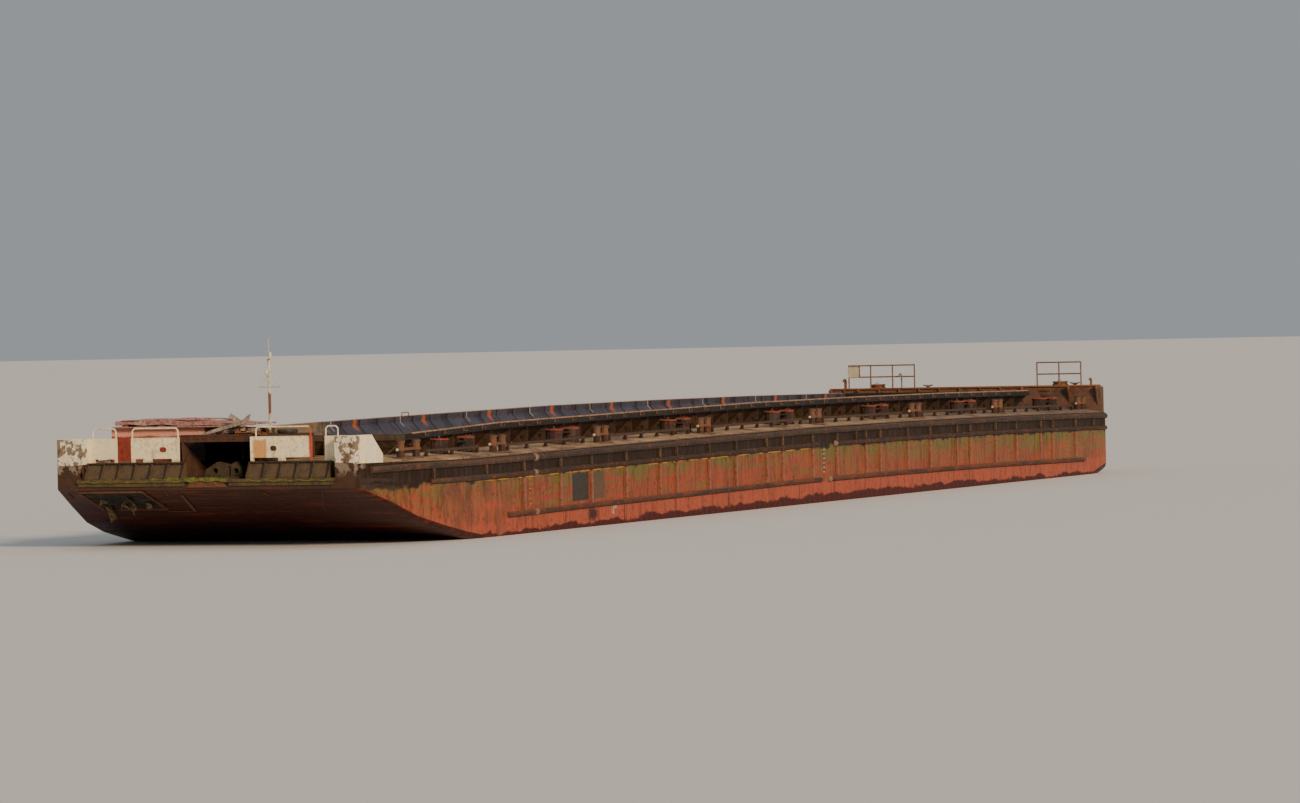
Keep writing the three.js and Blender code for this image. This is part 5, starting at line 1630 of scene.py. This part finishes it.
def addCleats():  # horned cleats on the platform
    base = startBlock((-0.08, -0.14, 0.003), (0.08, 0.14, 0.05))
    roundEdges(base, 0.015)
    neck = startBlock((-0.05, -0.09, 0.04), (0.05, 0.09, 0.16))
    openFaces(neck, facesUp)
    drawOut(0, 0, 0.06)
    closeFaces()
    horns = startBlock((-0.045, -cleat["long"] / 2, 0.15), (0.045, cleat["long"] / 2, 0.22))
    for y in (-0.12, 0.12):
        openFaces(horns, anyFace)
        bpy.ops.mesh.bisect(plane_co=(0, y * realMetre, 0), plane_no=(0, 1, 0))
        closeFaces()
    pushPoints(horns, lambda p: abs(p.y) > 0.2, (0, 0, 0.04))
    roundEdges(neck, 0.02)
    roundEdges(horns, 0.02)
    places = [(spot(aft, y, platform["top"]), 0) for aft, y in cleat["places"]]
    settle(setOut(weldUp([base, neck, horns]), places), "sternCleats", "wornSteel")


hoop = {"aft": 28.4, "half": 0.34, "high": 0.17, "thick": 0.035}


def addRailHoop():  # lashing hoop on top of the starboard rail
    h = hoop
    x, foot, thick = halfLength - h["aft"], wallTop(h["aft"]) - 0.01, h["thick"]
    corners = [(x + end * h["half"], -4.9, foot + up)
               for end, up in ((-1, 0), (-1, h["high"]), (1, h["high"]), (1, 0))]
    bars = [layBar(a, b, thick, thick) for a, b in zip(corners, corners[1:])]
    for bar in bars:
        roundEdges(bar, 0.01)
    settle(weldUp(bars), "railHoop", "wornSteel")


for name in sides:
    addHatchDogs(name)
    addHatchHandles(name)
addVents()
addPlatformEdge()
addWallTrim()
addCleats()
addRailHoop()

print("stage: transom and winch")
transom = {"x": -halfLength, "bars": (-4.6, -1.6, 1.6, 4.6), "foot": 1.0, "head": 4.66, "proud": 0.07}


def addTransomBars():  # rubbing bars down the stern, tied by pads
    t, parts = transom, []
    for y in t["bars"]:
        bar = startBlock((t["x"] - t["proud"], y - 0.13, t["foot"]),
                         (t["x"] + 0.02, y + 0.13, t["head"]))
        pushPoints(bar, lambda p: p.x < t["x"] and p.z < 2, (0.05, 0, 0))
        roundEdges(bar, 0.018)
        parts.append(bar)
        for z in (1.5, 2.6, 3.8):
            pad = startBlock((t["x"] - 0.03, y - 0.3, z - 0.12), (t["x"] + 0.02, y + 0.3, z + 0.12))
            roundEdges(pad, 0.02)
            parts.append(pad)
    settle(weldUp(parts), "transomBars", "wornSteel")


winch = {"aft": 4.2, "across": -3.5, "axle": 4.3, "drum": 0.2, "flange": 0.38, "half": 0.55}


def addWinch():  # hand winch inside the house, seen through its doorway
    w = winch
    x, foot = halfLength - w["aft"], deckHeight(w["aft"], w["across"]) + 0.005
    drum = startRound((x, w["across"], w["axle"]), w["drum"], 2 * w["half"], 28, (90, 0, 0))
    cutFaces(drum, lambda face: abs(face.normal.y) < 0.1, 5)
    for point in drum.data.vertices:  # its barrel is grooved
        turn = 1 + 0.08 * sin(point.co.y / realMetre * 60)
        point.co.x = x * realMetre + (point.co.x - x * realMetre) * turn
        point.co.z = w["axle"] * realMetre + (point.co.z - w["axle"] * realMetre) * turn
    parts = [drum]
    for end in (-1, 1):
        rim = startRound((x, w["across"] + end * w["half"], w["axle"]), w["flange"], 0.05, 28, (90, 0, 0))
        insetFaces(rim, lambda face: abs(face.normal.y) > 0.9, (0.05, -0.01))
        y = w["across"] + end * (w["half"] + 0.12)
        stand = startBlock((x - 0.4, y - 0.04, foot), (x + 0.4, y + 0.04, w["axle"] + 0.12))
        pushPoints(stand, lambda p: p.z > w["axle"] and p.x > x, (-0.26, 0, 0))
        pushPoints(stand, lambda p: p.z > w["axle"] and p.x < x, (0.26, 0, 0))
        roundEdges(stand, 0.02)
        parts += [rim, stand]
    settle(weldUp(parts), "deckWinch", "wornSteel")


addTransomBars()
addWinch()
